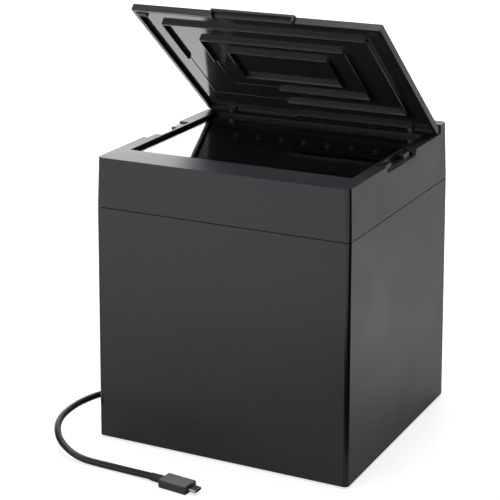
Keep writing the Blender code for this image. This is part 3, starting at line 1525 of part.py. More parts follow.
def build():
    base_case()
    base_plate()
    feet()
    case_screws()
    upper_frame()
    side_catches()
    glass()
    light_box()
    lamp_rows()
    main_board()
    camera_tower()
    camera()
    ribbon_cable()
    lamp_wires()
    cable_gland()
    cord_and_plug()
    inner_lead()
    hinge = hinge_empty()
    lid_shell(hinge)
    lid_liner(hinge)
    lid_bumpers(hinge)
    hinge_hardware(hinge)


build()
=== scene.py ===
# %% [markdown]
# # A photo scanner, dressed for its portrait
# The solids of this scanner were modelled elsewhere. This notebook keeps every size and
# place from them and adds what a camera sees: rounded edges, satin and glossy plastic, glass, a
# sheathed cord and soft studio light. Nothing is moved or resized, so the hinge still works.

# %% Load the imported model
import json
import math

import bmesh
import bpy
from mathutils import Matrix, Vector


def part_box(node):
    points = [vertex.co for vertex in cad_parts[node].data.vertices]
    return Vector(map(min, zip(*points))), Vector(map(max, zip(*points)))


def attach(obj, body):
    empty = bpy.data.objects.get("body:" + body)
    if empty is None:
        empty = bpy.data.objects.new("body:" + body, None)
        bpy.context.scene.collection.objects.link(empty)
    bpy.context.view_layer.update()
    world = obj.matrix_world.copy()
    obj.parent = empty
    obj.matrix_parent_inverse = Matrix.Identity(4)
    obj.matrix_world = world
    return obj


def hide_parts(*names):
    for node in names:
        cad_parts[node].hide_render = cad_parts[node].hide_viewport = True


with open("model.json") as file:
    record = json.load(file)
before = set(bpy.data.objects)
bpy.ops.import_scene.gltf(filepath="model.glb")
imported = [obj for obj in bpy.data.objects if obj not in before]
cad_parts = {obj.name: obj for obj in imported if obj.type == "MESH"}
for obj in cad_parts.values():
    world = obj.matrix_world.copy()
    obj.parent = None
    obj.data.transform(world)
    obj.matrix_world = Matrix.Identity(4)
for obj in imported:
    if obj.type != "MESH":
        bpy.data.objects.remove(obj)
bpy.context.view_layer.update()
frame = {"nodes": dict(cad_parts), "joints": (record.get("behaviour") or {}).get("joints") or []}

SCENE = bpy.context.scene
MM = 0.001
NODES = frame["nodes"]
HINGE = frame["joints"][0]

# %% [markdown]
# ## Camera
# A product photographer stands well back and uses a long lens, so the box keeps nearly parallel
# edges. The camera is turned left and tipped down, and both angles are written as turns. Its
# axes are built one by one, because that also takes in the slight roll of a hand-levelled tripod.

# %% Camera
CAMERA_PLACE = Vector((0.54307, -1.12390, 0.55181))
CAMERA_TURN = -0.4674
CAMERA_DIP = 0.3157
CAMERA_ROLL = -0.0025
CAMERA_LENS = 117.07
CAMERA_SENSOR = 36.0


def portrait_camera():
    ahead = Vector((
        math.sin(CAMERA_TURN) * math.cos(CAMERA_DIP),
        math.cos(CAMERA_TURN) * math.cos(CAMERA_DIP),
        -math.sin(CAMERA_DIP),
    ))
    level = Vector((math.cos(CAMERA_TURN), -math.sin(CAMERA_TURN), 0))
    upright = level.cross(ahead)
    right = math.cos(CAMERA_ROLL) * level + math.sin(CAMERA_ROLL) * upright
    up = right.cross(ahead)
    camera = bpy.data.objects.new("portrait_camera", bpy.data.cameras.new("portrait_camera"))
    SCENE.collection.objects.link(camera)
    camera.location = CAMERA_PLACE
    camera.rotation_euler = Matrix((right, up, -ahead)).transposed().to_euler()
    camera.data.lens = CAMERA_LENS
    camera.data.sensor_width = CAMERA_SENSOR
    camera.data.clip_start = 0.01
    camera.data.clip_end = 50
    return camera


SCENE.camera = portrait_camera()
SCENE.view_settings.view_transform = "Standard"
print("camera at", [round(v, 3) for v in SCENE.camera.location])

# %% [markdown]
# ## Shader nodes by hand
# Every finish below is a node tree. Clicking nodes together is fine for one material, but this
# scanner has over twenty, so small helpers add a node, join two sockets and do the sums.

# %% Small helpers for node trees
def add_node(tree, kind, **settings):
    made = tree.nodes.new(kind)
    for name, value in settings.items():
        setattr(made, name, value)
    return made


def feed(tree, socket, source):
    """Joins a socket to another socket, or gives it a plain value."""
    if isinstance(source, bpy.types.NodeSocket):
        tree.links.new(source, socket)
    else:
        socket.default_value = source


def calculate(tree, operation, first, second=0.0, third=None, clamp=False):
    made = add_node(tree, "ShaderNodeMath", operation=operation, use_clamp=clamp)
    feed(tree, made.inputs[0], first)
    feed(tree, made.inputs[1], second)
    if third is not None:
        feed(tree, made.inputs[2], third)
    return made.outputs[0]


def between(tree, value, low, high, to_low=0.0, to_high=1.0):
    """Maps a value from one range to another and holds it inside."""
    made = add_node(tree, "ShaderNodeMapRange")
    for name, source in (
        ("Value", value),
        ("From Min", low),
        ("From Max", high),
        ("To Min", to_low),
        ("To Max", to_high),
    ):
        feed(tree, made.inputs[name], source)
    return made.outputs["Result"]


def mix_colours(tree, share, first, second):
    """Mixes two colours. The node's colour sockets are inputs 6 and 7 and output 2."""
    made = add_node(tree, "ShaderNodeMix", data_type="RGBA")
    feed(tree, made.inputs["Factor"], share)
    feed(tree, made.inputs[6], first)
    feed(tree, made.inputs[7], second)
    return made.outputs[2]


def noise(tree, place, scale, detail=2.0, roughness=0.5):
    made = add_node(tree, "ShaderNodeTexNoise")
    feed(tree, made.inputs["Vector"], place)
    feed(tree, made.inputs["Scale"], scale)
    made.inputs["Detail"].default_value = detail
    made.inputs["Roughness"].default_value = roughness
    return made.outputs["Fac"]


print("node helpers ready")

# %% [markdown]
# ## Effects that several finishes share
# Moulded plastic is never quite even. The steel mould leaves a fine grain, handling polishes the
# corners, and dust settles on what faces up. Each effect is one node group with named inputs, so
# a finish only says how much of it there is. The groups give masks and heights, never shaders.

# %% A node group with named sockets
def effect_group(name, inputs, outputs):
    group = bpy.data.node_groups.new(name, "ShaderNodeTree")
    for label, kind, value in inputs:
        socket = group.interface.new_socket(label, in_out="INPUT", socket_type=kind)
        if value is not None:
            socket.default_value = value
    for label in outputs:
        group.interface.new_socket(label, in_out="OUTPUT", socket_type="NodeSocketFloat")
    return group, group.nodes.new("NodeGroupInput").outputs, group.nodes.new("NodeGroupOutput").inputs


# %% Mould grain: a fine height and slow patches
def mould_grain_group():
    group, given, result = effect_group(
        "mould_grain",
        (("Place", "NodeSocketVector", None), ("Grain per metre", "NodeSocketFloat", 2600.0)),
        ("Height", "Patches"),
    )
    fine = noise(group, given["Place"], given["Grain per metre"], 3.0, 0.62)
    coarse_scale = calculate(group, "MULTIPLY", given["Grain per metre"], 0.31)
    coarse = noise(group, given["Place"], coarse_scale, 2.0, 0.5)
    height = calculate(group, "MULTIPLY_ADD", coarse, 0.45, fine)
    feed(group, result["Height"], height)
    feed(group, result["Patches"], noise(group, given["Place"], 21.0, 2.0, 0.45))
    return group


MOULD_GRAIN = mould_grain_group()
print("grain group:", len(MOULD_GRAIN.nodes), "nodes")


# %% Handled edges: where the surface turns sharply
def handled_edge_group():
    group, given, result = effect_group(
        "handled_edge",
        (
            ("Place", "NodeSocketVector", None),
            ("Width", "NodeSocketFloat", 0.6 * MM),
            ("Amount", "NodeSocketFloat", 1.0),
        ),
        ("Mask",),
    )
    rounded = add_node(group, "ShaderNodeBevel", samples=6)
    feed(group, rounded.inputs["Radius"], given["Width"])
    straight = add_node(group, "ShaderNodeNewGeometry")
    turn = add_node(group, "ShaderNodeVectorMath", operation="DOT_PRODUCT")
    feed(group, turn.inputs[0], rounded.outputs["Normal"])
    feed(group, turn.inputs[1], straight.outputs["Normal"])
    bent = between(group, turn.outputs["Value"], 0.995, 0.90)
    broken = between(group, noise(group, given["Place"], 140.0, 3.0, 0.6), 0.35, 0.65, 0.35, 1.0)
    worn = calculate(group, "MULTIPLY", bent, broken)
    feed(group, result["Mask"], calculate(group, "MULTIPLY", worn, given["Amount"], clamp=True))
    return group


HANDLED_EDGE = handled_edge_group()
print("edge group:", len(HANDLED_EDGE.nodes), "nodes")


# %% Settled dust: sparse specks on what faces up
def settled_dust_group():
    group, given, result = effect_group(
        "settled_dust",
        (("Place", "NodeSocketVector", None), ("Amount", "NodeSocketFloat", 0.3)),
        ("Mask",),
    )
    facing = add_node(group, "ShaderNodeTexCoord")
    parts = add_node(group, "ShaderNodeSeparateXYZ")
    feed(group, parts.inputs[0], facing.outputs["Normal"])
    upward = between(group, parts.outputs["Z"], 0.55, 0.95)
    film = between(group, noise(group, given["Place"], 34.0, 4.0, 0.6), 0.42, 0.75, 0.0, 0.22)
    specks = between(group, noise(group, given["Place"], 950.0, 1.0, 0.4), 0.76, 0.80)
    lying = calculate(group, "ADD", film, specks)
    dusty = calculate(group, "MULTIPLY", lying, upward)
    feed(group, result["Mask"], calculate(group, "MULTIPLY", dusty, given["Amount"], clamp=True))
    return group


SETTLED_DUST = settled_dust_group()
print("dust group:", len(SETTLED_DUST.nodes), "nodes")


def use_group(tree, group, **inputs):
    made = add_node(tree, "ShaderNodeGroup", node_tree=group)
    for label, value in inputs.items():
        feed(tree, made.inputs[label.replace("_", " ")], value)
    return made.outputs


# %% [markdown]
# ## Finishes
# One function makes all the plastics, rubbers and coatings: a colour that drifts a little, grain
# as bump, lighter rubbed edges and a trace of dust. What differs between them is written in a
# table, the way a maker would list the resins. Glass and plated metal get functions of their own.

# %% One recipe for plastics, rubbers and coatings
DUST_COLOUR = (0.32, 0.31, 0.30, 1)
FINISHES = {}


def start_finish(name):
    made = bpy.data.materials.new(name)
    made.use_nodes = True
    tree = made.node_tree
    shader = tree.nodes["Principled BSDF"]
    place = add_node(tree, "ShaderNodeTexCoord").outputs["Object"]
    FINISHES[name] = made
    return made, tree, shader, place


def moulded_finish(
    name, colour, roughness, grain=2600.0, depth=0.012 * MM, drift=0.10, rub=0.35, width=0.5 * MM,
    dust=0.0, metallic=0.0, uneven=0.06,
):
    made, tree, shader, place = start_finish(name)
    texture = use_group(tree, MOULD_GRAIN, Place=place, Grain_per_metre=grain)
    patches = between(tree, texture["Patches"], 0.3, 0.7)
    darker = (*[c * (1 - drift) for c in colour], 1)
    lighter = (*[c * (1 + drift) for c in colour], 1)
    rubbed = (*[c * 1.9 + 0.012 for c in colour], 1)
    body = mix_colours(tree, patches, darker, lighter)
    edge = use_group(tree, HANDLED_EDGE, Place=place, Width=width, Amount=rub)["Mask"]
    body = mix_colours(tree, edge, body, rubbed)
    rough = between(tree, patches, 0.0, 1.0, roughness - uneven / 2, roughness + uneven / 2)
    if dust > 0:
        lying = use_group(tree, SETTLED_DUST, Place=place, Amount=dust)["Mask"]
        body = mix_colours(tree, lying, body, DUST_COLOUR)
        rough = calculate(tree, "MULTIPLY_ADD", lying, 0.4, rough)
    rough = calculate(tree, "MULTIPLY_ADD", edge, -0.10, rough, clamp=True)
    bump = add_node(tree, "ShaderNodeBump")
    bump.inputs["Strength"].default_value = 1.0
    bump.inputs["Distance"].default_value = depth
    feed(tree, bump.inputs["Height"], texture["Height"])
    feed(tree, shader.inputs["Base Color"], body)
    feed(tree, shader.inputs["Roughness"], rough)
    feed(tree, shader.inputs["Normal"], bump.outputs["Normal"])
    shader.inputs["Metallic"].default_value = metallic
    made.diffuse_color = (*colour, 1)
    return made


# %% The plastics, rubbers and coatings of this scanner
def make_moulded_finishes():
    moulded_finish("satin_case", (0.026, 0.027, 0.033), 0.37, rub=0.05, dust=0.03)
    # A darker, smoother copy of the case plastic: painted dark reflection for the upright corners.
    moulded_finish("corner_painted_dark_reflection", (0.008, 0.008, 0.010), 0.20, rub=0.0, dust=0.03)
    moulded_finish("satin_lid", (0.029, 0.030, 0.036), 0.37, rub=0.05, dust=0.03)
    moulded_finish("catch_black", (0.020, 0.020, 0.021), 0.33, rub=0.5)
    moulded_finish("inner_black", (0.008, 0.008, 0.0085), 0.55, grain=1800.0, rub=0.1)
    moulded_finish("foot_rubber", (0.010, 0.010, 0.010), 0.80, grain=1500.0, depth=0.03 * MM, rub=0.1)
    moulded_finish("bumper_rubber", (0.020, 0.020, 0.021), 0.62, grain=1900.0, depth=0.02 * MM, rub=0.15)
    moulded_finish("foam_strip", (0.010, 0.010, 0.010), 0.92, grain=900.0, depth=0.12 * MM, rub=0.0)
    moulded_finish("lamp_resin", (0.30, 0.30, 0.28), 0.30, grain=1200.0, drift=0.05, rub=0.0)
    moulded_finish("lamp_cover", (0.006, 0.006, 0.0065), 0.30, grain=1600.0, rub=0.1)
    moulded_finish("white_board", (0.70, 0.70, 0.67), 0.45, grain=1400.0, drift=0.04, rub=0.1)
    moulded_finish("green_board", (0.015, 0.10, 0.045), 0.32, grain=700.0, drift=0.25, rub=0.2)
    moulded_finish("chip_epoxy", (0.018, 0.018, 0.019), 0.50, grain=3000.0, rub=0.1)
    moulded_finish("barrel_black", (0.018, 0.018, 0.018), 0.34, grain=2200.0, rub=0.4, metallic=0.6)
    moulded_finish("red_insulation", (0.42, 0.022, 0.016), 0.42, grain=900.0, rub=0.0)
    moulded_finish("ribbon_film", (0.62, 0.60, 0.53), 0.36, grain=600.0, drift=0.06, rub=0.0)
    moulded_finish("cord_sheath", (0.009, 0.009, 0.0095), 0.30, grain=1700.0, depth=0.02 * MM, rub=0.0)
    moulded_finish("cord_rubber", (0.013, 0.013, 0.0135), 0.55, grain=1700.0, depth=0.02 * MM, rub=0.2)
    moulded_finish("plug_plastic", (0.042, 0.042, 0.043), 0.30, grain=2400.0, depth=0.015 * MM, rub=0.35)
    # A lighter copy of the plug plastic: painted light on the plug's top.
    moulded_finish("plug_top_painted_light", (0.150, 0.150, 0.152), 0.38, grain=2400.0, depth=0.015 * MM, rub=0.2)
    moulded_finish("washer_plastic", (0.52, 0.52, 0.50), 0.40, grain=1200.0, drift=0.05, rub=0.1)


make_moulded_finishes()
print(len(FINISHES), "moulded finishes")


# %% Glossy liner: a mirror-like black with the slow ripple of a big flat moulding
RIPPLE_PER_METRE = 26.0


def glossy_liner():
    made, tree, shader, place = start_finish("gloss_liner")
    texture = use_group(tree, MOULD_GRAIN, Place=place, Grain_per_metre=1900.0)
    patches = between(tree, texture["Patches"], 0.3, 0.7)
    body = mix_colours(tree, patches, (0.050, 0.051, 0.058, 1), (0.058, 0.059, 0.066, 1))
    edge = use_group(tree, HANDLED_EDGE, Place=place, Width=0.5 * MM, Amount=0.5)["Mask"]
    body = mix_colours(tree, edge, body, (0.09, 0.09, 0.092, 1))
    smears = between(tree, noise(tree, place, 60.0, 4.0, 0.6), 0.45, 0.75, 0.10, 0.17)
    ripple = noise(tree, place, RIPPLE_PER_METRE, 1.0, 0.4)
    slow = add_node(tree, "ShaderNodeBump")
    slow.inputs["Distance"].default_value = 0.03 * MM
    feed(tree, slow.inputs["Height"], ripple)
    fine = add_node(tree, "ShaderNodeBump")
    fine.inputs["Distance"].default_value = 0.003 * MM
    feed(tree, fine.inputs["Height"], texture["Height"])
    feed(tree, fine.inputs["Normal"], slow.outputs["Normal"])
    feed(tree, shader.inputs["Base Color"], body)
    feed(tree, shader.inputs["Roughness"], smears)
    feed(tree, shader.inputs["Normal"], fine.outputs["Normal"])


glossy_liner()
print("glossy liner ready")


# %% Glass, clear and coated
def glass_finish(name, colour, smear):
    made, tree, shader, place = start_finish(name)
    wiped = between(tree, noise(tree, place, 18.0, 5.0, 0.65), 0.48, 0.72, 0.012, 0.012 + smear)
    specks = between(tree, noise(tree, place, 1300.0, 1.0, 0.4), 0.77, 0.80, 0.0, 0.35)
    feed(tree, shader.inputs["Roughness"], calculate(tree, "ADD", wiped, specks, clamp=True))
    tint = mix_colours(tree, noise(tree, place, 9.0), colour, (*[c * 0.985 for c in colour[:3]], 1))
    feed(tree, shader.inputs["Base Color"], tint)
    shader.inputs["Transmission Weight"].default_value = 1.0
    shader.inputs["IOR"].default_value = 1.52


glass_finish("clear_glass", (0.97, 0.985, 0.98, 1), 0.02)
glass_finish("lens_glass", (0.86, 0.90, 0.97, 1), 0.0)


# %% Bare metals: screws, hinge pins and the plated plug shell
def metal_finish(name, colour, roughness, lines, depth):
    made, tree, shader, place = start_finish(name)
    stretch = add_node(tree, "ShaderNodeMapping")
    stretch.inputs["Scale"].default_value = (lines, lines, lines * 6)
    feed(tree, stretch.inputs["Vector"], place)
    brushed = noise(tree, stretch.outputs["Vector"], 1.0, 3.0, 0.6)
    dull = between(tree, noise(tree, place, 420.0, 3.0, 0.6), 0.4, 0.7)
    dark = (*[c * 0.82 for c in colour], 1)
    feed(tree, shader.inputs["Base Color"], mix_colours(tree, dull, (*colour, 1), dark))
    feed(tree, shader.inputs["Roughness"], between(tree, dull, 0.0, 1.0, roughness, roughness * 1.5))
    bump = add_node(tree, "ShaderNodeBump")
    bump.inputs["Distance"].default_value = depth
    feed(tree, bump.inputs["Height"], brushed)
    feed(tree, shader.inputs["Normal"], bump.outputs["Normal"])
    shader.inputs["Metallic"].default_value = 1.0


metal_finish("plain_steel", (0.56, 0.56, 0.58), 0.30, 900.0, 0.006 * MM)
metal_finish("bright_plate", (0.80, 0.80, 0.81), 0.14, 500.0, 0.002 * MM)
print(len(FINISHES), "finishes in all")

# %% [markdown]
# ## The cord
# The cord is a fixed length of something flexible. It leaves the gland in the left wall, sags as
# it bends forward, comes down to the floor and runs along it to the plug. The route below is the
# one that the solid has, point by point. A smooth curve goes through the points, and the bevel
# gives it the round sheath.

# %% The cord's route
CORD_RADIUS = 2.7 * MM
CORD_STEP = 2.0 * MM
GLAND_TIP = Vector((-116.08 * MM, -60 * MM, 19.5 * MM))
FACE_GAP = 0.3 * MM
CORD_STUB = 2.5 * MM
PLUG_MIDDLE = Vector((-7.0 * MM, -157 * MM, 3.5 * MM))
PLUG_TURN = math.radians(-6)
MOULD_LENGTH = 24.6 * MM
BOOT_LENGTH = 11.5 * MM
CORD_ROUTE = (
    (-124.5 * MM, -62.4 * MM, 19.5 * MM),
    (-129.2 * MM, -67.6 * MM, 19.4 * MM),
    (-132.6 * MM, -75.5 * MM, 19.3 * MM),
    (-135.2 * MM, -85.0 * MM, 19.1 * MM),
    (-136.7 * MM, -95.0 * MM, 18.8 * MM),
    (-136.8 * MM, -106.0 * MM, 18.3 * MM),
    (-135.4 * MM, -117.0 * MM, 17.6 * MM),
    (-131.9 * MM, -127.6 * MM, 16.3 * MM),
    (-126.6 * MM, -136.6 * MM, 14.2 * MM),
    (-119.8 * MM, -143.6 * MM, 11.4 * MM),
    (-111.6 * MM, -148.0 * MM, 8.2 * MM),
    (-102.4 * MM, -150.4 * MM, 5.2 * MM),
    (-92.4 * MM, -151.4 * MM, 3.4 * MM),
    (-79.0 * MM, -151.8 * MM, 2.9 * MM),
    (-64.0 * MM, -152.4 * MM, 2.9 * MM),
    (-50.0 * MM, -153.2 * MM, 3.1 * MM),
)


def plug_point(ahead):
    """A point this far ahead of the middle of the plug's mould, along the plug."""
    return PLUG_MIDDLE + ahead * Vector((math.cos(PLUG_TURN), math.sin(PLUG_TURN), 0))


def smooth_route(points, spacing):
    """Evenly spaced points on a smooth curve through the route's own points."""
    route = [Vector(point) for point in points]
    ends = [2 * route[0] - route[1], *route, 2 * route[-1] - route[-2]]
    fine = []
    steps = 24
    for before, start, stop, after in zip(ends, ends[1:], ends[2:], ends[3:]):
        for step in range(steps):
            t = step / steps
            linear = (stop - before) * t
            square = (2 * before - 5 * start + 4 * stop - after) * t**2
            cube = (3 * start - before - 3 * stop + after) * t**3
            fine.append((2 * start + linear + square + cube) / 2)
    fine.append(route[-1])
    lengths = [0.0]
    for first, second in zip(fine, fine[1:]):
        lengths.append(lengths[-1] + (second - first).length)
    count = round(lengths[-1] / spacing) + 1
    even = []
    index = 0
    for step in range(count):
        goal = lengths[-1] * step / (count - 1)
        while index < len(lengths) - 2 and lengths[index + 1] < goal:
            index += 1
        span = lengths[index + 1] - lengths[index]
        even.append(fine[index].lerp(fine[index + 1], (goal - lengths[index]) / span))
    return even


def cord_points():
    start = GLAND_TIP + Vector((-FACE_GAP, 0, 0))
    boot_back = -MOULD_LENGTH / 2 - FACE_GAP - BOOT_LENGTH
    end = plug_point(boot_back - FACE_GAP)
    before_end = plug_point(boot_back - FACE_GAP - CORD_STUB)
    free = smooth_route([start - Vector((CORD_STUB, 0, 0)), *CORD_ROUTE, before_end], CORD_STEP)
    return [start, *free, end]


CORD_POINTS = cord_points()


# %% The sheath
def sheathed_cord():
    curve = bpy.data.curves.new("cord", "CURVE")
    curve.dimensions = "3D"
    curve.bevel_depth = CORD_RADIUS
    curve.bevel_resolution = 7
    curve.use_fill_caps = True
    spline = curve.splines.new("POLY")
    spline.points.add(len(CORD_POINTS) - 1)
    for point, place in zip(spline.points, CORD_POINTS):
        point.co = (*place, 1)
    spline.use_smooth = True
    curve.materials.append(FINISHES["cord_sheath"])
    made = bpy.data.objects.new("cord", curve)
    SCENE.collection.objects.link(made)
    return made


CORD = sheathed_cord()
print("sheath", 2 * CORD_RADIUS / MM, "mm thick")

# %% [markdown]
# ## Moulded edges
# A solid from the workshop file has knife-sharp edges, and a knife-sharp edge looks false, because
# every moulding has a small radius that catches the light. The pieces below are copies of their
# solids. Each copy is welded and its flat faces are merged, and then a narrow Bevel rounds every
# edge that turns by more than a set angle. The faceted rounds stay under that angle and are
# shaded smooth.

# %% A copy of a solid with moulded edges
WELD = 0.002 * MM
FLAT_ANGLE = math.radians(0.4)
CREASE_ANGLE = math.radians(33)


def settle(made, body, nodes, finish):
    """Gives a piece its finish, its body and the solids that it stands for."""
    if finish:
        made.data.materials.clear()
        made.data.materials.append(FINISHES[finish])
    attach(made, body)
    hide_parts(*nodes)
    return made


def piece_from(name, bm):
    mesh = bpy.data.meshes.new(name)
    bm.to_mesh(mesh)
    bm.free()
    made = bpy.data.objects.new(name, mesh)
    SCENE.collection.objects.link(made)
    return made


def round_off(made, edge, segments=3, angle=CREASE_ANGLE):
    made.data.shade_smooth()
    rounding = made.modifiers.new("moulded edges", "BEVEL")
    rounding.width = edge
    rounding.segments = segments
    rounding.limit_method = "ANGLE"
    rounding.angle_limit = angle
    rounding.use_clamp_overlap = True
    flats = made.modifiers.new("flat faces", "WEIGHTED_NORMAL")
    flats.mode = "FACE_AREA"
    flats.weight = 90
    return made


def moulded_copy(name, node, edge, body, slot, finish, segments=3):
    bm = bmesh.new()
    bm.from_mesh(NODES[node].data)
    bmesh.ops.remove_doubles(bm, verts=bm.verts, dist=WELD)
    bmesh.ops.dissolve_limit(bm, angle_limit=FLAT_ANGLE, verts=bm.verts, edges=bm.edges)
    made = round_off(piece_from(name, bm), edge, segments)
    return settle(made, body, [node], finish)


def paint_faces(made, finish, chosen):
    """Gives the chosen faces of a piece a finish of their own."""
    made.data.materials.append(FINISHES[finish])
    painted = [face for face in made.data.polygons if chosen(face)]
    for face in painted:
        face.material_index = len(made.data.materials) - 1
    print(made.name, "has", len(painted), "faces painted with", finish)


# %% The case, its top frame and the plate below
SHELL = ("case", "case_plastic", "satin_case")
case_shell = moulded_copy("case_shell", "base_case", 0.28 * MM, *SHELL)
top_frame = moulded_copy("top_frame", "upper_frame", 0.30 * MM, *SHELL)
moulded_copy("bottom_plate", "base_plate", 0.30 * MM, "case", "dark_plastic", "inner_black")
moulded_copy("light_hood", "light_box", 0.20 * MM, "case", "dark_plastic", "inner_black")
glass = moulded_copy("glass", "glass_pane", 0.06 * MM, "case", "clear_glass", "clear_glass", 2)
CATCH = ("case", "dark_plastic", "catch_black")
for side in ("left", "right"):
    moulded_copy("catch_" + side, "side_catch_" + side, 0.28 * MM, *CATCH)
print("case pieces made")

# %% [markdown]
# Light that enters a pane can leave through its sawn edge and shine as a bright line. So that edge
# is painted black here. The low wall behind the pane is painted black too, as painted shade for the
# gap under the hinge. The rounded upright corners get a darker and smoother finish than the flat
# walls, a painted dark reflection that draws a dark line down each of them.

# %% Black edges, painted shade and corners with a painted dark reflection
WELL_REAR = max(corner.co.y for corner in glass.data.vertices)
PANE_TOP = max(corner.co.z for corner in glass.data.vertices)
WALL_HEIGHT = 3.0 * MM
WALL_GAP = 0.6 * MM
LEAST_CORNER_AREA = 5 * MM * MM
SLANTED = 0.06
UPRIGHT = 0.3
SIDEWAYS = 0.5
STRAIGHT = 0.9


def is_upright_corner(face):
    turned = min(abs(face.normal.x), abs(face.normal.y)) > SLANTED
    return turned and abs(face.normal.z) < UPRIGHT and face.area > LEAST_CORNER_AREA


def is_pane_edge(face):
    return abs(face.normal.z) < SIDEWAYS


def is_rear_wall(face):
    at_pane = abs(face.center.z - PANE_TOP) < WALL_HEIGHT
    at_rear = abs(face.center.y - WELL_REAR) < WALL_GAP
    return at_pane and at_rear and face.normal.y < -STRAIGHT


def is_top(face):
    return face.normal.z > STRAIGHT


# Painted dark reflection: the rounded upright corners of the case and frame get the darker finish.
paint_faces(case_shell, "corner_painted_dark_reflection", is_upright_corner)
paint_faces(top_frame, "corner_painted_dark_reflection", is_upright_corner)
paint_faces(glass, "inner_black", is_pane_edge)
# Painted shade: the low rear wall behind the pane gets the black finish for the shade it lies in.
paint_faces(top_frame, "inner_black", is_rear_wall)

# %% The lid and its two bumpers
moulded_copy("lid_cover", "lid_shell", 0.35 * MM, "lid", "case_plastic", "satin_lid")
BUMPER = ("lid", "foot_rubber", "bumper_rubber")
for side in ("left", "right"):
    moulded_copy("lid_bumper_" + side, "bumper_" + side, 0.35 * MM, *BUMPER)
print("lid pieces made")

# %% The plug, the gland and the feet
CORNERS = ("front_left", "front_right", "rear_left", "rear_right")
FOOT = ("case", "foot_rubber", "foot_rubber")
plug_body = moulded_copy("plug_body", "plug_mould", 0.5 * MM, "case", "cord_plastic", "plug_plastic")
# Painted light: the plug's upward faces get the lighter copy of its plastic.
paint_faces(plug_body, "plug_top_painted_light", is_top)
moulded_copy("plug_sleeve", "plug_boot", 0.5 * MM, "case", "cord_rubber", "cord_rubber")
moulded_copy("plug_mouth", "plug_shell", 0.08 * MM, "case", "plug_steel", "bright_plate")
moulded_copy("strain_relief", "cable_gland", 0.4 * MM, "case", "cord_rubber", "cord_rubber")
for corner in CORNERS:
    moulded_copy("rubber_foot_" + corner, "foot_" + corner, 0.3 * MM, *FOOT)
print("plug, gland and", len(CORNERS), "feet made")

# %% [markdown]
# ## Pieces that repeat
# Screws and lamps are the same piece over and over. One of each is turned on a lathe, which in
# mesh code is a profile swept round an axis. A Geometry Nodes tree then sets a copy on every
# place, with a random turn from a fixed seed, and makes the copies real.

# %% A small lathe
LATHE_SIDES = 24


def lathed(name, profile):
    """A closed turned piece. The profile's first and last points lie on the Z axis."""
    bm = bmesh.new()
    rings = []
    for radius, height in profile:
        turns = [0.0] if radius == 0 else [math.tau * k / LATHE_SIDES for k in range(LATHE_SIDES)]
        round_places = [(radius * math.cos(turn), radius * math.sin(turn), height) for turn in turns]
        rings.append([bm.verts.new(place) for place in round_places])
    for low, high in zip(rings, rings[1:]):
        for k in range(LATHE_SIDES):
            low_pair = (low[k % len(low)], low[(k + 1) % len(low)])
            around = (*low_pair, high[(k + 1) % len(high)], high[k % len(high)])
            bm.faces.new(list(dict.fromkeys(around)))
    bmesh.ops.recalc_face_normals(bm, faces=bm.faces)
    made = piece_from(name, bm)
    made.data.shade_smooth()
    made.data.set_sharp_from_angle(angle=CREASE_ANGLE)
    return made


# %% A geometry tree with named inputs
def geometry_tree(name, inputs):
    tree = bpy.data.node_groups.new(name, "GeometryNodeTree")
    tree.interface.new_socket("Geometry", in_out="INPUT", socket_type="NodeSocketGeometry")
    for label, kind in inputs:
        tree.interface.new_socket(label, in_out="INPUT", socket_type=kind)
    tree.interface.new_socket("Geometry", in_out="OUTPUT", socket_type="NodeSocketGeometry")
    return tree, add_node(tree, "NodeGroupInput").outputs, add_node(tree, "NodeGroupOutput").inputs[0]


def grown(name, bm, steps):
    """Runs geometry trees one after another on a mesh and keeps the result as a plain mesh."""
    made = piece_from(name, bm)
    for tree, values in steps:
        maker = made.modifiers.new(tree.name, "NODES")
        maker.node_group = tree
        for item in tree.interface.items_tree:
            if item.in_out == "INPUT" and item.name in values:
                maker[item.identifier] = values[item.name]
    finished = made.evaluated_get(bpy.context.evaluated_depsgraph_get())
    mesh = bpy.data.meshes.new_from_object(finished)
    made.modifiers.clear()
    made.data = mesh
    return made


# %% The tree that sets a piece on every place
def placing_tree():
    tree, given, result = geometry_tree(
        "pieces_on_places",
        (
            ("Piece", "NodeSocketObject"),
            ("Largest Turn", "NodeSocketVector"),
            ("Seed", "NodeSocketInt"),
            ("Finish", "NodeSocketMaterial"),
        ),
    )
    piece = add_node(tree, "GeometryNodeObjectInfo")
    feed(tree, piece.inputs["Object"], given["Piece"])
    turn = add_node(tree, "FunctionNodeRandomValue", data_type="FLOAT_VECTOR")
    feed(tree, turn.inputs["Max"], given["Largest Turn"])
    feed(tree, turn.inputs["Seed"], given["Seed"])
    placed = add_node(tree, "GeometryNodeInstanceOnPoints")
    feed(tree, placed.inputs["Points"], given["Geometry"])
    feed(tree, placed.inputs["Instance"], piece.outputs["Geometry"])
    feed(tree, placed.inputs["Rotation"], turn.outputs["Value"])
    real = add_node(tree, "GeometryNodeRealizeInstances")
    feed(tree, real.inputs["Geometry"], placed.outputs["Instances"])
    coated = add_node(tree, "GeometryNodeSetMaterial")
    feed(tree, coated.inputs["Geometry"], real.outputs["Geometry"])
    feed(tree, coated.inputs["Material"], given["Finish"])
    feed(tree, result, coated.outputs["Geometry"])
    return tree


TURN_SEED = 7
PLACING = placing_tree()
print("placing tree:", len(PLACING.nodes), "nodes")


def set_of(name, template, places, largest_turn, finish, body, nodes):
    """Copies of a template on these places, as one plain mesh."""
    bm = bmesh.new()
    for place in places:
        bm.verts.new(place)
    values = {
        "Piece": template,
        "Largest Turn": largest_turn,
        "Seed": TURN_SEED,
        "Finish": FINISHES[finish],
    }
    made = grown(name, bm, [(PLACING, values)])
    bpy.data.objects.remove(template)
    print(name, len(made.data.polygons), "faces on", len(places), "places")
    return settle(made, body, nodes, None)


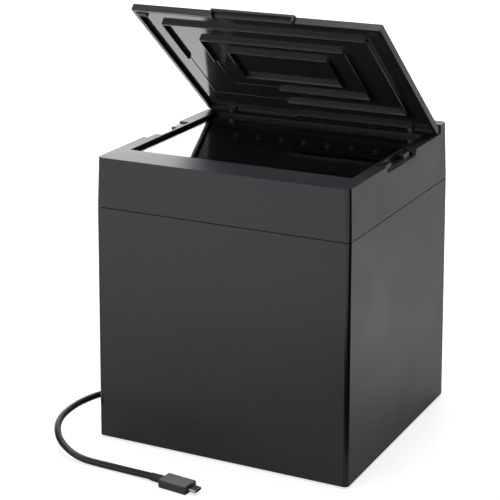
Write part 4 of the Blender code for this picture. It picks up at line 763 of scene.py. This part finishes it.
# %% [markdown]
# ### Screws
# The screws are pan heads with a cross recess and a coarse plastic thread. The lathe gives the
# head's crown and the thread's ridges, and a Boolean with a small cross cuts the recess. The head's
# place comes from the solid that each screw stands for, and the length from the set's last solid.

# %% One screw
RECESS_ARM = 0.62
RECESS_BLADE = 0.17
RECESS_DEPTH = 0.55
THREAD_PITCH = 1.1 * MM
THREAD_DEPTH = 0.22 * MM


def screw_template(head_radius, head_height, shank_radius, grip):
    """A screw along +Z with its head below the origin."""
    profile = [
        (0, -head_height),
        (0.60 * head_radius, -head_height),
        (0.86 * head_radius, -0.86 * head_height),
        (0.98 * head_radius, -0.52 * head_height),
        (head_radius, -0.12 * head_height),
        (0.97 * head_radius, 0),
        (shank_radius, 0),
    ]
    turns = int((grip - 2 * THREAD_PITCH) / THREAD_PITCH)
    for turn in range(turns):
        height = (turn + 0.8) * THREAD_PITCH
        profile.append((shank_radius - THREAD_DEPTH, height))
        profile.append((shank_radius, height + THREAD_PITCH / 2))
    profile.append((shank_radius - THREAD_DEPTH, grip - THREAD_PITCH / 2))
    profile.append((0, grip))
    screw = lathed("screw_template", profile)
    cross = bmesh.new()
    for arm in ((RECESS_ARM, RECESS_BLADE), (RECESS_BLADE, RECESS_ARM)):
        bar = bmesh.ops.create_cube(cross, size=2)["verts"]
        sizes = (arm[0] * head_radius, arm[1] * head_radius, RECESS_DEPTH * head_height)
        bmesh.ops.scale(cross, verts=bar, vec=sizes)
    bmesh.ops.translate(cross, verts=cross.verts, vec=(0, 0, -head_height))
    cutter = piece_from("recess_cutter", cross)
    cut = screw.modifiers.new("recess", "BOOLEAN")
    cut.operation = "DIFFERENCE"
    cut.solver = "EXACT"
    cut.use_self = True
    cut.object = cutter
    mesh = bpy.data.meshes.new_from_object(screw.evaluated_get(bpy.context.evaluated_depsgraph_get()))
    screw.modifiers.clear()
    screw.data = mesh
    bpy.data.objects.remove(cutter)
    return screw


# %% Screws of the plate, the frame and the board
SCREW_RADIUS = 1.4 * MM
SCREW_HEAD_RADIUS = 2.7 * MM
FRAME_HEAD_HEIGHT = 1.6 * MM
BASE_HEAD_HEIGHT = 0.8 * MM
SMALL_SCREW_RADIUS = 1.0 * MM
SMALL_HEAD_RADIUS = 1.9 * MM
SMALL_HEAD_HEIGHT = 1.2 * MM


def screw_set(name, nodes, head_radius, head_height, shank_radius, upward):
    places = []
    for node in nodes:
        low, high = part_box(node)
        seat = low.z + head_height if upward else high.z - head_height
        places.append(((low.x + high.x) / 2, (low.y + high.y) / 2, seat))
    grip = high.z - low.z - head_height
    template = screw_template(head_radius, head_height, shank_radius, grip)
    if not upward:
        template.data.transform(Matrix.Rotation(math.pi, 4, "X"))
    set_of(name, template, places, (0, 0, math.tau), "plain_steel", "case", nodes)


screw_set(
    "base_screws", ["base_screw_" + corner for corner in CORNERS],
    SCREW_HEAD_RADIUS, BASE_HEAD_HEIGHT, SCREW_RADIUS, True,
)
screw_set(
    "frame_screws", ["frame_screw_" + corner for corner in CORNERS],
    SCREW_HEAD_RADIUS, FRAME_HEAD_HEIGHT, SCREW_RADIUS, True,
)
screw_set(
    "board_screws", ["board_screw_front", "board_screw_rear"],
    SMALL_HEAD_RADIUS, SMALL_HEAD_HEIGHT, SMALL_SCREW_RADIUS, False,
)

# %% [markdown]
# ### Two rows of lamps
# Behind each window of the light box sits a smoked cover with eight milky lamps in it, which show
# through the glass as a few faint dots. A lamp is a bullet-shaped dome with a foot ring.

# %% The lamps and their covers
LAMP_COUNT = 8
LAMP_END_INSET = 8.6 * MM
LAMP_RADIUS = 2.2 * MM
LAMP_REACH = 3.4 * MM
COVER_THICKNESS = 1.4 * MM
COVER_EDGE = 0.4 * MM
LAMP_SINK = 0.5 * MM
LAMP_FOOT = 0.5 * MM
DOME_STEPS = 7


def lamp_template(facing):
    """A domed lamp that points along Y, to the front (-1) or to the rear (1)."""
    waist = 0.84 * LAMP_RADIUS
    profile = [(0, -LAMP_SINK), (LAMP_RADIUS, -LAMP_SINK), (LAMP_RADIUS, LAMP_FOOT), (waist, LAMP_FOOT)]
    start = LAMP_REACH - waist
    for step in range(DOME_STEPS):
        turn = math.pi / 2 * step / DOME_STEPS
        profile.append((waist * math.cos(turn), start + waist * math.sin(turn)))
    profile.append((0, LAMP_REACH))
    lamp = lathed("lamp_template", profile)
    lamp.data.transform(Matrix.Rotation(-facing * math.pi / 2, 4, "X"))
    return lamp


def lamp_row(end, facing):
    node = "lamp_lens_" + end
    low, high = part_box(node)
    back = high.y if facing < 0 else low.y
    face = back + facing * COVER_THICKNESS
    bm = bmesh.new()
    bmesh.ops.create_cube(bm, size=1)
    size = (high.x - low.x, COVER_THICKNESS, high.z - low.z)
    bmesh.ops.scale(bm, verts=bm.verts, vec=size)
    bmesh.ops.translate(bm, verts=bm.verts, vec=(0, (back + face) / 2, (low.z + high.z) / 2))
    cover = round_off(piece_from("lamp_cover_" + end, bm), COVER_EDGE)
    settle(cover, "case", [node], "lamp_cover")
    pitch = (high.x - low.x - 2 * LAMP_END_INSET) / (LAMP_COUNT - 1)
    places = []
    for index in range(LAMP_COUNT):
        places.append((pitch * (index - (LAMP_COUNT - 1) / 2), face, (low.z + high.z) / 2))
    lamps = lamp_template(facing)
    set_of("lamps_" + end, lamps, places, (0, 0, 0), "lamp_resin", "case", [node])


lamp_row("front", 1)
lamp_row("rear", -1)
print("two rows of", LAMP_COUNT, "lamps")

# %% [markdown]
# ## The ribbed liner
# The lid's inner plate is one glossy moulding: a thin sheet with three rectangles of ribs, one
# inside the other. On the hinge side of the left half the ribs are nearly flat. A rib is a rounded
# strip that follows a rectangle with soft corners, so Geometry Nodes sweep a small profile along
# that rectangle and then press the low part towards the sheet. All of it is made in the closed
# lid's own frame and turned about the hinge at the end.

# %% The tree for one rectangle of ribs
def rib_tree():
    tree, given, result = geometry_tree(
        "rectangle_of_ribs",
        (
            ("Half Width", "NodeSocketFloat"),
            ("Near", "NodeSocketFloat"),
            ("Far", "NodeSocketFloat"),
            ("Thickness", "NodeSocketFloat"),
            ("Height", "NodeSocketFloat"),
            ("Foot", "NodeSocketFloat"),
            ("Corner", "NodeSocketFloat"),
            ("Edge", "NodeSocketFloat"),
            ("Step", "NodeSocketFloat"),
            ("Sheet Face", "NodeSocketFloat"),
            ("Low Left Of", "NodeSocketFloat"),
            ("Low Behind", "NodeSocketFloat"),
            ("Low Share", "NodeSocketFloat"),
            ("Finish", "NodeSocketMaterial"),
        ),
    )
    half = given["Thickness"]
    width = calculate(tree, "SUBTRACT", calculate(tree, "MULTIPLY", given["Half Width"], 2.0), half)
    depth = calculate(tree, "SUBTRACT", calculate(tree, "SUBTRACT", given["Far"], given["Near"]), half)
    path = rounded_rectangle(tree, width, depth, given["Corner"], 5)
    even = add_node(tree, "GeometryNodeResampleCurve", mode="LENGTH")
    feed(tree, even.inputs["Curve"], path)
    feed(tree, even.inputs["Length"], given["Step"])
    profile = rounded_rectangle(tree, given["Thickness"], given["Height"], given["Edge"], 3)
    swept = add_node(tree, "GeometryNodeCurveToMesh")
    feed(tree, swept.inputs["Curve"], even.outputs["Curve"])
    feed(tree, swept.inputs["Profile Curve"], profile)
    middle = calculate(tree, "MULTIPLY", calculate(tree, "ADD", given["Near"], given["Far"]), 0.5)
    centre = add_node(tree, "ShaderNodeCombineXYZ")
    feed(tree, centre.inputs["Y"], middle)
    feed(tree, centre.inputs["Z"], calculate(tree, "MULTIPLY_ADD", given["Height"], 0.5, given["Foot"]))
    moved = add_node(tree, "GeometryNodeTransform")
    feed(tree, moved.inputs["Geometry"], swept.outputs["Mesh"])
    feed(tree, moved.inputs["Translation"], centre.outputs["Vector"])
    pressed = press_low_part(tree, given, moved.outputs["Geometry"])
    shaded = add_node(tree, "GeometryNodeSetShadeSmooth")
    feed(tree, shaded.inputs["Geometry"], pressed)
    both = add_node(tree, "GeometryNodeJoinGeometry")
    tree.links.new(shaded.outputs["Geometry"], both.inputs["Geometry"])
    tree.links.new(given["Geometry"], both.inputs["Geometry"])
    real = add_node(tree, "GeometryNodeRealizeInstances")
    feed(tree, real.inputs["Geometry"], both.outputs["Geometry"])
    coated = add_node(tree, "GeometryNodeSetMaterial")
    feed(tree, coated.inputs["Geometry"], real.outputs["Geometry"])
    feed(tree, coated.inputs["Material"], given["Finish"])
    feed(tree, result, coated.outputs["Geometry"])
    return tree


def rounded_rectangle(tree, width, height, radius, count):
    shape = add_node(tree, "GeometryNodeCurvePrimitiveQuadrilateral", mode="RECTANGLE")
    feed(tree, shape.inputs["Width"], width)
    feed(tree, shape.inputs["Height"], height)
    soft = add_node(tree, "GeometryNodeFilletCurve", mode="POLY")
    feed(tree, soft.inputs["Curve"], shape.outputs["Curve"])
    feed(tree, soft.inputs["Radius"], radius)
    soft.inputs["Count"].default_value = count
    return soft.outputs["Curve"]


def press_low_part(tree, given, geometry):
    """Squeezes the part left of one line and behind another towards the sheet's face."""
    fade = 1.2 * MM
    place = add_node(tree, "GeometryNodeInputPosition")
    parts = add_node(tree, "ShaderNodeSeparateXYZ")
    feed(tree, parts.inputs[0], place.outputs["Position"])
    right = calculate(tree, "SUBTRACT", parts.outputs["X"], given["Low Left Of"])
    behind = calculate(tree, "SUBTRACT", parts.outputs["Y"], given["Low Behind"])
    is_left = between(tree, right, -fade, 0.0, 1.0, 0.0)
    is_behind = between(tree, behind, 0.0, fade, 0.0, 1.0)
    low = calculate(tree, "MULTIPLY", is_left, is_behind)
    kept = between(tree, low, 0.0, 1.0, 1.0, given["Low Share"])
    above = calculate(tree, "SUBTRACT", parts.outputs["Z"], given["Sheet Face"])
    squeezed = calculate(tree, "MULTIPLY_ADD", above, kept, given["Sheet Face"])
    goal = add_node(tree, "ShaderNodeCombineXYZ")
    feed(tree, goal.inputs["X"], parts.outputs["X"])
    feed(tree, goal.inputs["Y"], parts.outputs["Y"])
    feed(tree, goal.inputs["Z"], squeezed)
    press = add_node(tree, "GeometryNodeSetPosition")
    feed(tree, press.inputs["Geometry"], geometry)
    feed(tree, press.inputs["Position"], goal.outputs["Vector"])
    return press.outputs["Geometry"]


RIBS = rib_tree()
print("rib tree:", len(RIBS.nodes), "nodes")

# %% Sizes of the liner, in the closed lid's frame
LID_LENGTH = 161.5 * MM
LID_HALF_WIDTH = 104.3 * MM
LID_HALF_THICKNESS = 2.8 * MM
LINER_HALF_WIDTH = 101.0 * MM
LINER_FREE_EDGE = -158.2 * MM
LINER_HINGE_EDGE = -4.3 * MM
SHEET_FACE = 0.4 * MM
SHEET_BACK = 1.3 * MM
RIB_THICKNESS = 1.4 * MM
RIB_SINK = 0.6 * MM
RIB_CORNER = 0.9 * MM
RIB_EDGE = 0.42 * MM
RIB_STEP = 1.0 * MM
SHEET_EDGE = 0.25 * MM
LOW_RIB_HEIGHT = 0.4 * MM
LOW_LEFT_OF = -18.96 * MM
LOW_BEHIND_SHARE = 0.464
RIB_FRAMES = (
    ((0.833, 0.1195, 0.844), True),
    ((0.5954, 0.2477, 0.7158), True),
    ((0.4161, 0.3498, 0.6068), False),
)


# %% The liner
def liner_sheet():
    bm = bmesh.new()
    bmesh.ops.create_cube(bm, size=1)
    size = (2 * LINER_HALF_WIDTH, LINER_HINGE_EDGE - LINER_FREE_EDGE, SHEET_BACK - SHEET_FACE)
    middle = (0, (LINER_FREE_EDGE + LINER_HINGE_EDGE) / 2, (SHEET_FACE + SHEET_BACK) / 2)
    bmesh.ops.scale(bm, verts=bm.verts, vec=size)
    bmesh.ops.translate(bm, verts=bm.verts, vec=middle)
    edges = list(bm.edges)
    bmesh.ops.bevel(bm, geom=edges, offset=SHEET_EDGE, segments=2, profile=0.5, affect="EDGES")
    return bm


def ribbed_liner():
    steps = []
    for shares, has_low_part in RIB_FRAMES:
        steps.append((RIBS, {
            "Half Width": shares[0] * LID_HALF_WIDTH,
            "Near": (shares[1] - 1) * LID_LENGTH,
            "Far": (shares[2] - 1) * LID_LENGTH,
            "Thickness": RIB_THICKNESS,
            "Height": LID_HALF_THICKNESS + SHEET_FACE + RIB_SINK,
            "Foot": -LID_HALF_THICKNESS,
            "Corner": RIB_CORNER,
            "Edge": RIB_EDGE,
            "Step": RIB_STEP,
            "Sheet Face": SHEET_FACE,
            "Low Left Of": LOW_LEFT_OF if has_low_part else -2 * LID_HALF_WIDTH,
            "Low Behind": (LOW_BEHIND_SHARE - 1) * LID_LENGTH,
            "Low Share": LOW_RIB_HEIGHT / (LID_HALF_THICKNESS + SHEET_FACE),
            "Finish": FINISHES["gloss_liner"],
        }))
    liner = grown("liner", liner_sheet(), steps)
    axis = Vector(HINGE["pos_m"])
    open_angle = math.radians(HINGE["range_deg"][1] - HINGE["range_deg"][0])
    liner.data.transform(Matrix.Translation(axis) @ Matrix.Rotation(-open_angle, 4, "X"))
    settle(liner, "lid", ["lid_liner"], None)
    print("liner:", len(liner.data.polygons), "faces, opened by", round(math.degrees(open_angle), 1))


ribbed_liner()

# %% The cord joins the case and stands for the solid cord
settle(CORD, "case", ["usb_cord"], None)

# %% Solids that keep their shape and only get a finish
KEPT = {
    "glass_tape": "foam_strip",
    "main_board": "green_board",
    "camera_board": "green_board",
    "image_processor": "chip_epoxy",
    "image_sensor": "lens_glass",
    "camera_tower": "inner_black",
    "lens_holder": "inner_black",
    "lens_barrel": "barrel_black",
    "front_lens": "lens_glass",
    "ribbon_cable": "ribbon_film",
    "inner_lead": "cord_sheath",
    "plug_tongue": "inner_black",
}
for end in ("front", "rear"):
    KEPT["lamp_board_" + end] = "white_board"
    KEPT["lamp_holder_" + end] = "inner_black"
    KEPT["lamp_wire_" + end] = "red_insulation"
for side in ("left", "right"):
    KEPT["hinge_pin_" + side] = "plain_steel"
    KEPT["friction_washer_" + side] = "washer_plastic"
for node, finish in KEPT.items():
    NODES[node].data.materials.clear()
    NODES[node].data.materials.append(FINISHES[finish])
print(len(KEPT), "solids finished as they are")

# %% [markdown]
# ## Floor and light
# The studio is plain: a pale floor and big soft lights. The background is white because the floor
# and the world say so to the camera, and not because there is more light on the scanner. Satin
# sides mirror the floor softly, so the floor also carries a few brighter patches that only glossy
# rays see. They stand for the reflector boards that a photographer puts round a dark product.

# %% Floor
FLOOR_HALF = 6.0
FLOOR_GREY = 0.45
FLOOR_DARK = 0.03
SEEN_NEAR = 0.71
SEEN_FAR = 1.0
NEAR_REACH = 0.28
FAR_REACH = 0.55
SWEEP_SIDE = Vector((0.90, -0.44, 0))
SWEEP_END = 0.16
SWEEP_FADE = 0.07
EAST = Vector((1, 0, 0))
NORTH = Vector((0, 1, 0))
FAR = 9.0
REFLECTORS = (
    ("front left", 0.80, (EAST, -FAR, -0.20, 0.06), (NORTH, -FAR, -0.42, 0.05)),
    ("front right", 1.02, (EAST, -0.20, FAR, 0.06), (NORTH, -FAR, -0.42, 0.05)),
    ("front near", 0.17, (EAST, -FAR, -0.20, 0.06), (NORTH, -0.42, -0.22, 0.05)),
    ("back left", 2.13, (EAST, -FAR, -0.15, 0.03), (NORTH, 0.04, FAR, 0.04)),
    ("right near", 0.12, (EAST, 0.10, 0.24, 0.05), (SWEEP_SIDE, -FAR, 0.19, 0.04)),
    ("right far", 1.50, (EAST, 0.24, FAR, 0.05), (SWEEP_SIDE, 0.10, 0.19, 0.04)),
    ("right edge", 1.30, (EAST, 0.53, FAR, 0.03), (SWEEP_SIDE, 0.02, 0.19, 0.03)),
)


def along(tree, place, direction):
    made = add_node(tree, "ShaderNodeVectorMath", operation="DOT_PRODUCT")
    feed(tree, made.inputs[0], place)
    made.inputs[1].default_value = direction
    return made.outputs["Value"]


def inside(tree, place, band):
    """A soft mask that is 1 where the floor lies between two lines."""
    direction, low, high, fade = band
    reach = along(tree, place, direction)
    rising = between(tree, reach, low - fade, low + fade)
    falling = between(tree, reach, high - fade, high + fade, 1.0, 0.0)
    return calculate(tree, "MULTIPLY", rising, falling)


def reflected_glow(tree, place):
    glow = 0.0
    for name, strength, first, second in REFLECTORS:
        share = calculate(tree, "MULTIPLY", inside(tree, place, first), inside(tree, place, second))
        share.node.label = name
        glow = calculate(tree, "MULTIPLY_ADD", share, strength, glow)
    return glow


def pale_floor():
    bm = bmesh.new()
    bmesh.ops.create_grid(bm, x_segments=1, y_segments=1, size=FLOOR_HALF)
    floor = piece_from("floor", bm)
    made, tree, shader, place = start_finish("pale_floor")
    past_sweep = between(tree, along(tree, place, SWEEP_SIDE), SWEEP_END, SWEEP_END + SWEEP_FADE)
    feed(tree, shader.inputs["Base Color"], between(tree, past_sweep, 0.0, 1.0, FLOOR_GREY, FLOOR_DARK))
    shader.inputs["Roughness"].default_value = 0.9
    shader.inputs["Specular IOR Level"].default_value = 0.0
    shader.inputs["Emission Color"].default_value = (1, 1, 1, 1)
    path = add_node(tree, "ShaderNodeLightPath")
    distance = add_node(tree, "ShaderNodeVectorMath", operation="LENGTH")
    feed(tree, distance.inputs[0], place)
    pale = between(tree, distance.outputs["Value"], NEAR_REACH, FAR_REACH, SEEN_NEAR, SEEN_FAR)
    pale = calculate(tree, "MULTIPLY_ADD", past_sweep, calculate(tree, "SUBTRACT", 1.0, pale), pale)
    seen = calculate(tree, "MULTIPLY", path.outputs["Is Camera Ray"], pale)
    mirrored = calculate(tree, "MULTIPLY", path.outputs["Is Glossy Ray"], reflected_glow(tree, place))
    feed(tree, shader.inputs["Emission Strength"], calculate(tree, "MAXIMUM", seen, mirrored))
    floor.data.materials.append(made)


pale_floor()


# %% World: white behind the scanner, dark in front of it for reflections
WORLD_BACK = 1.0
WORLD_FRONT = 0.13
WORLD_SOFT = 0.08


def studio_world():
    world = bpy.data.worlds.new("studio")
    world.use_nodes = True
    SCENE.world = world
    tree = world.node_tree
    background = tree.nodes["Background"]
    path = add_node(tree, "ShaderNodeLightPath")
    gloss = calculate(tree, "MAXIMUM", path.outputs["Is Glossy Ray"], path.outputs["Is Transmission Ray"])
    ahead = add_node(tree, "ShaderNodeSeparateXYZ")
    feed(tree, ahead.inputs[0], add_node(tree, "ShaderNodeTexCoord").outputs["Generated"])
    back = between(tree, ahead.outputs["Y"], 0.10, 0.50, WORLD_FRONT, WORLD_BACK)
    mirrored = calculate(tree, "MULTIPLY", gloss, back)
    white = calculate(tree, "MAXIMUM", mirrored, path.outputs["Is Camera Ray"])
    background.inputs["Color"].default_value = (1, 1, 1, 1)
    feed(tree, background.inputs["Strength"], calculate(tree, "MAXIMUM", white, WORLD_SOFT))


studio_world()


# %% Soft lights
# Each light has a name, a place, a point it aims at, a width, a height and a power in watts.
SOFTBOXES = (
    ("key_light", (-0.7, 1.3, 1.9), (0.0, 0.0, 0.1), 1.5, 1.5, 26),
    ("left_light", (-0.95, 1.35, 0.70), (0.0, 0.0, 0.2), 1.0, 0.9, 4.8),
    ("top_light", (0.0, -0.2, 2.3), (0.0, 0.0, 0.2), 1.4, 1.4, 42),
    ("front_low", (-0.6, -1.6, 0.7), (0.0, 0.0, 0.25), 1.0, 0.8, 6),
)
UNMIRRORED = "key_light"


def softbox(name, place, aim, width, height, power):
    light = bpy.data.lights.new(name, "AREA")
    light.shape = "RECTANGLE"
    light.size = width
    light.size_y = height
    light.energy = power
    made = bpy.data.objects.new(name, light)
    SCENE.collection.objects.link(made)
    made.location = place
    made.rotation_euler = (Vector(aim) - Vector(place)).to_track_quat("-Z", "Y").to_euler()
    made.visible_camera = False
    made.visible_glossy = name != UNMIRRORED


for settings in SOFTBOXES:
    softbox(*settings)
print("floor, world and", len(SOFTBOXES), "lights ready")
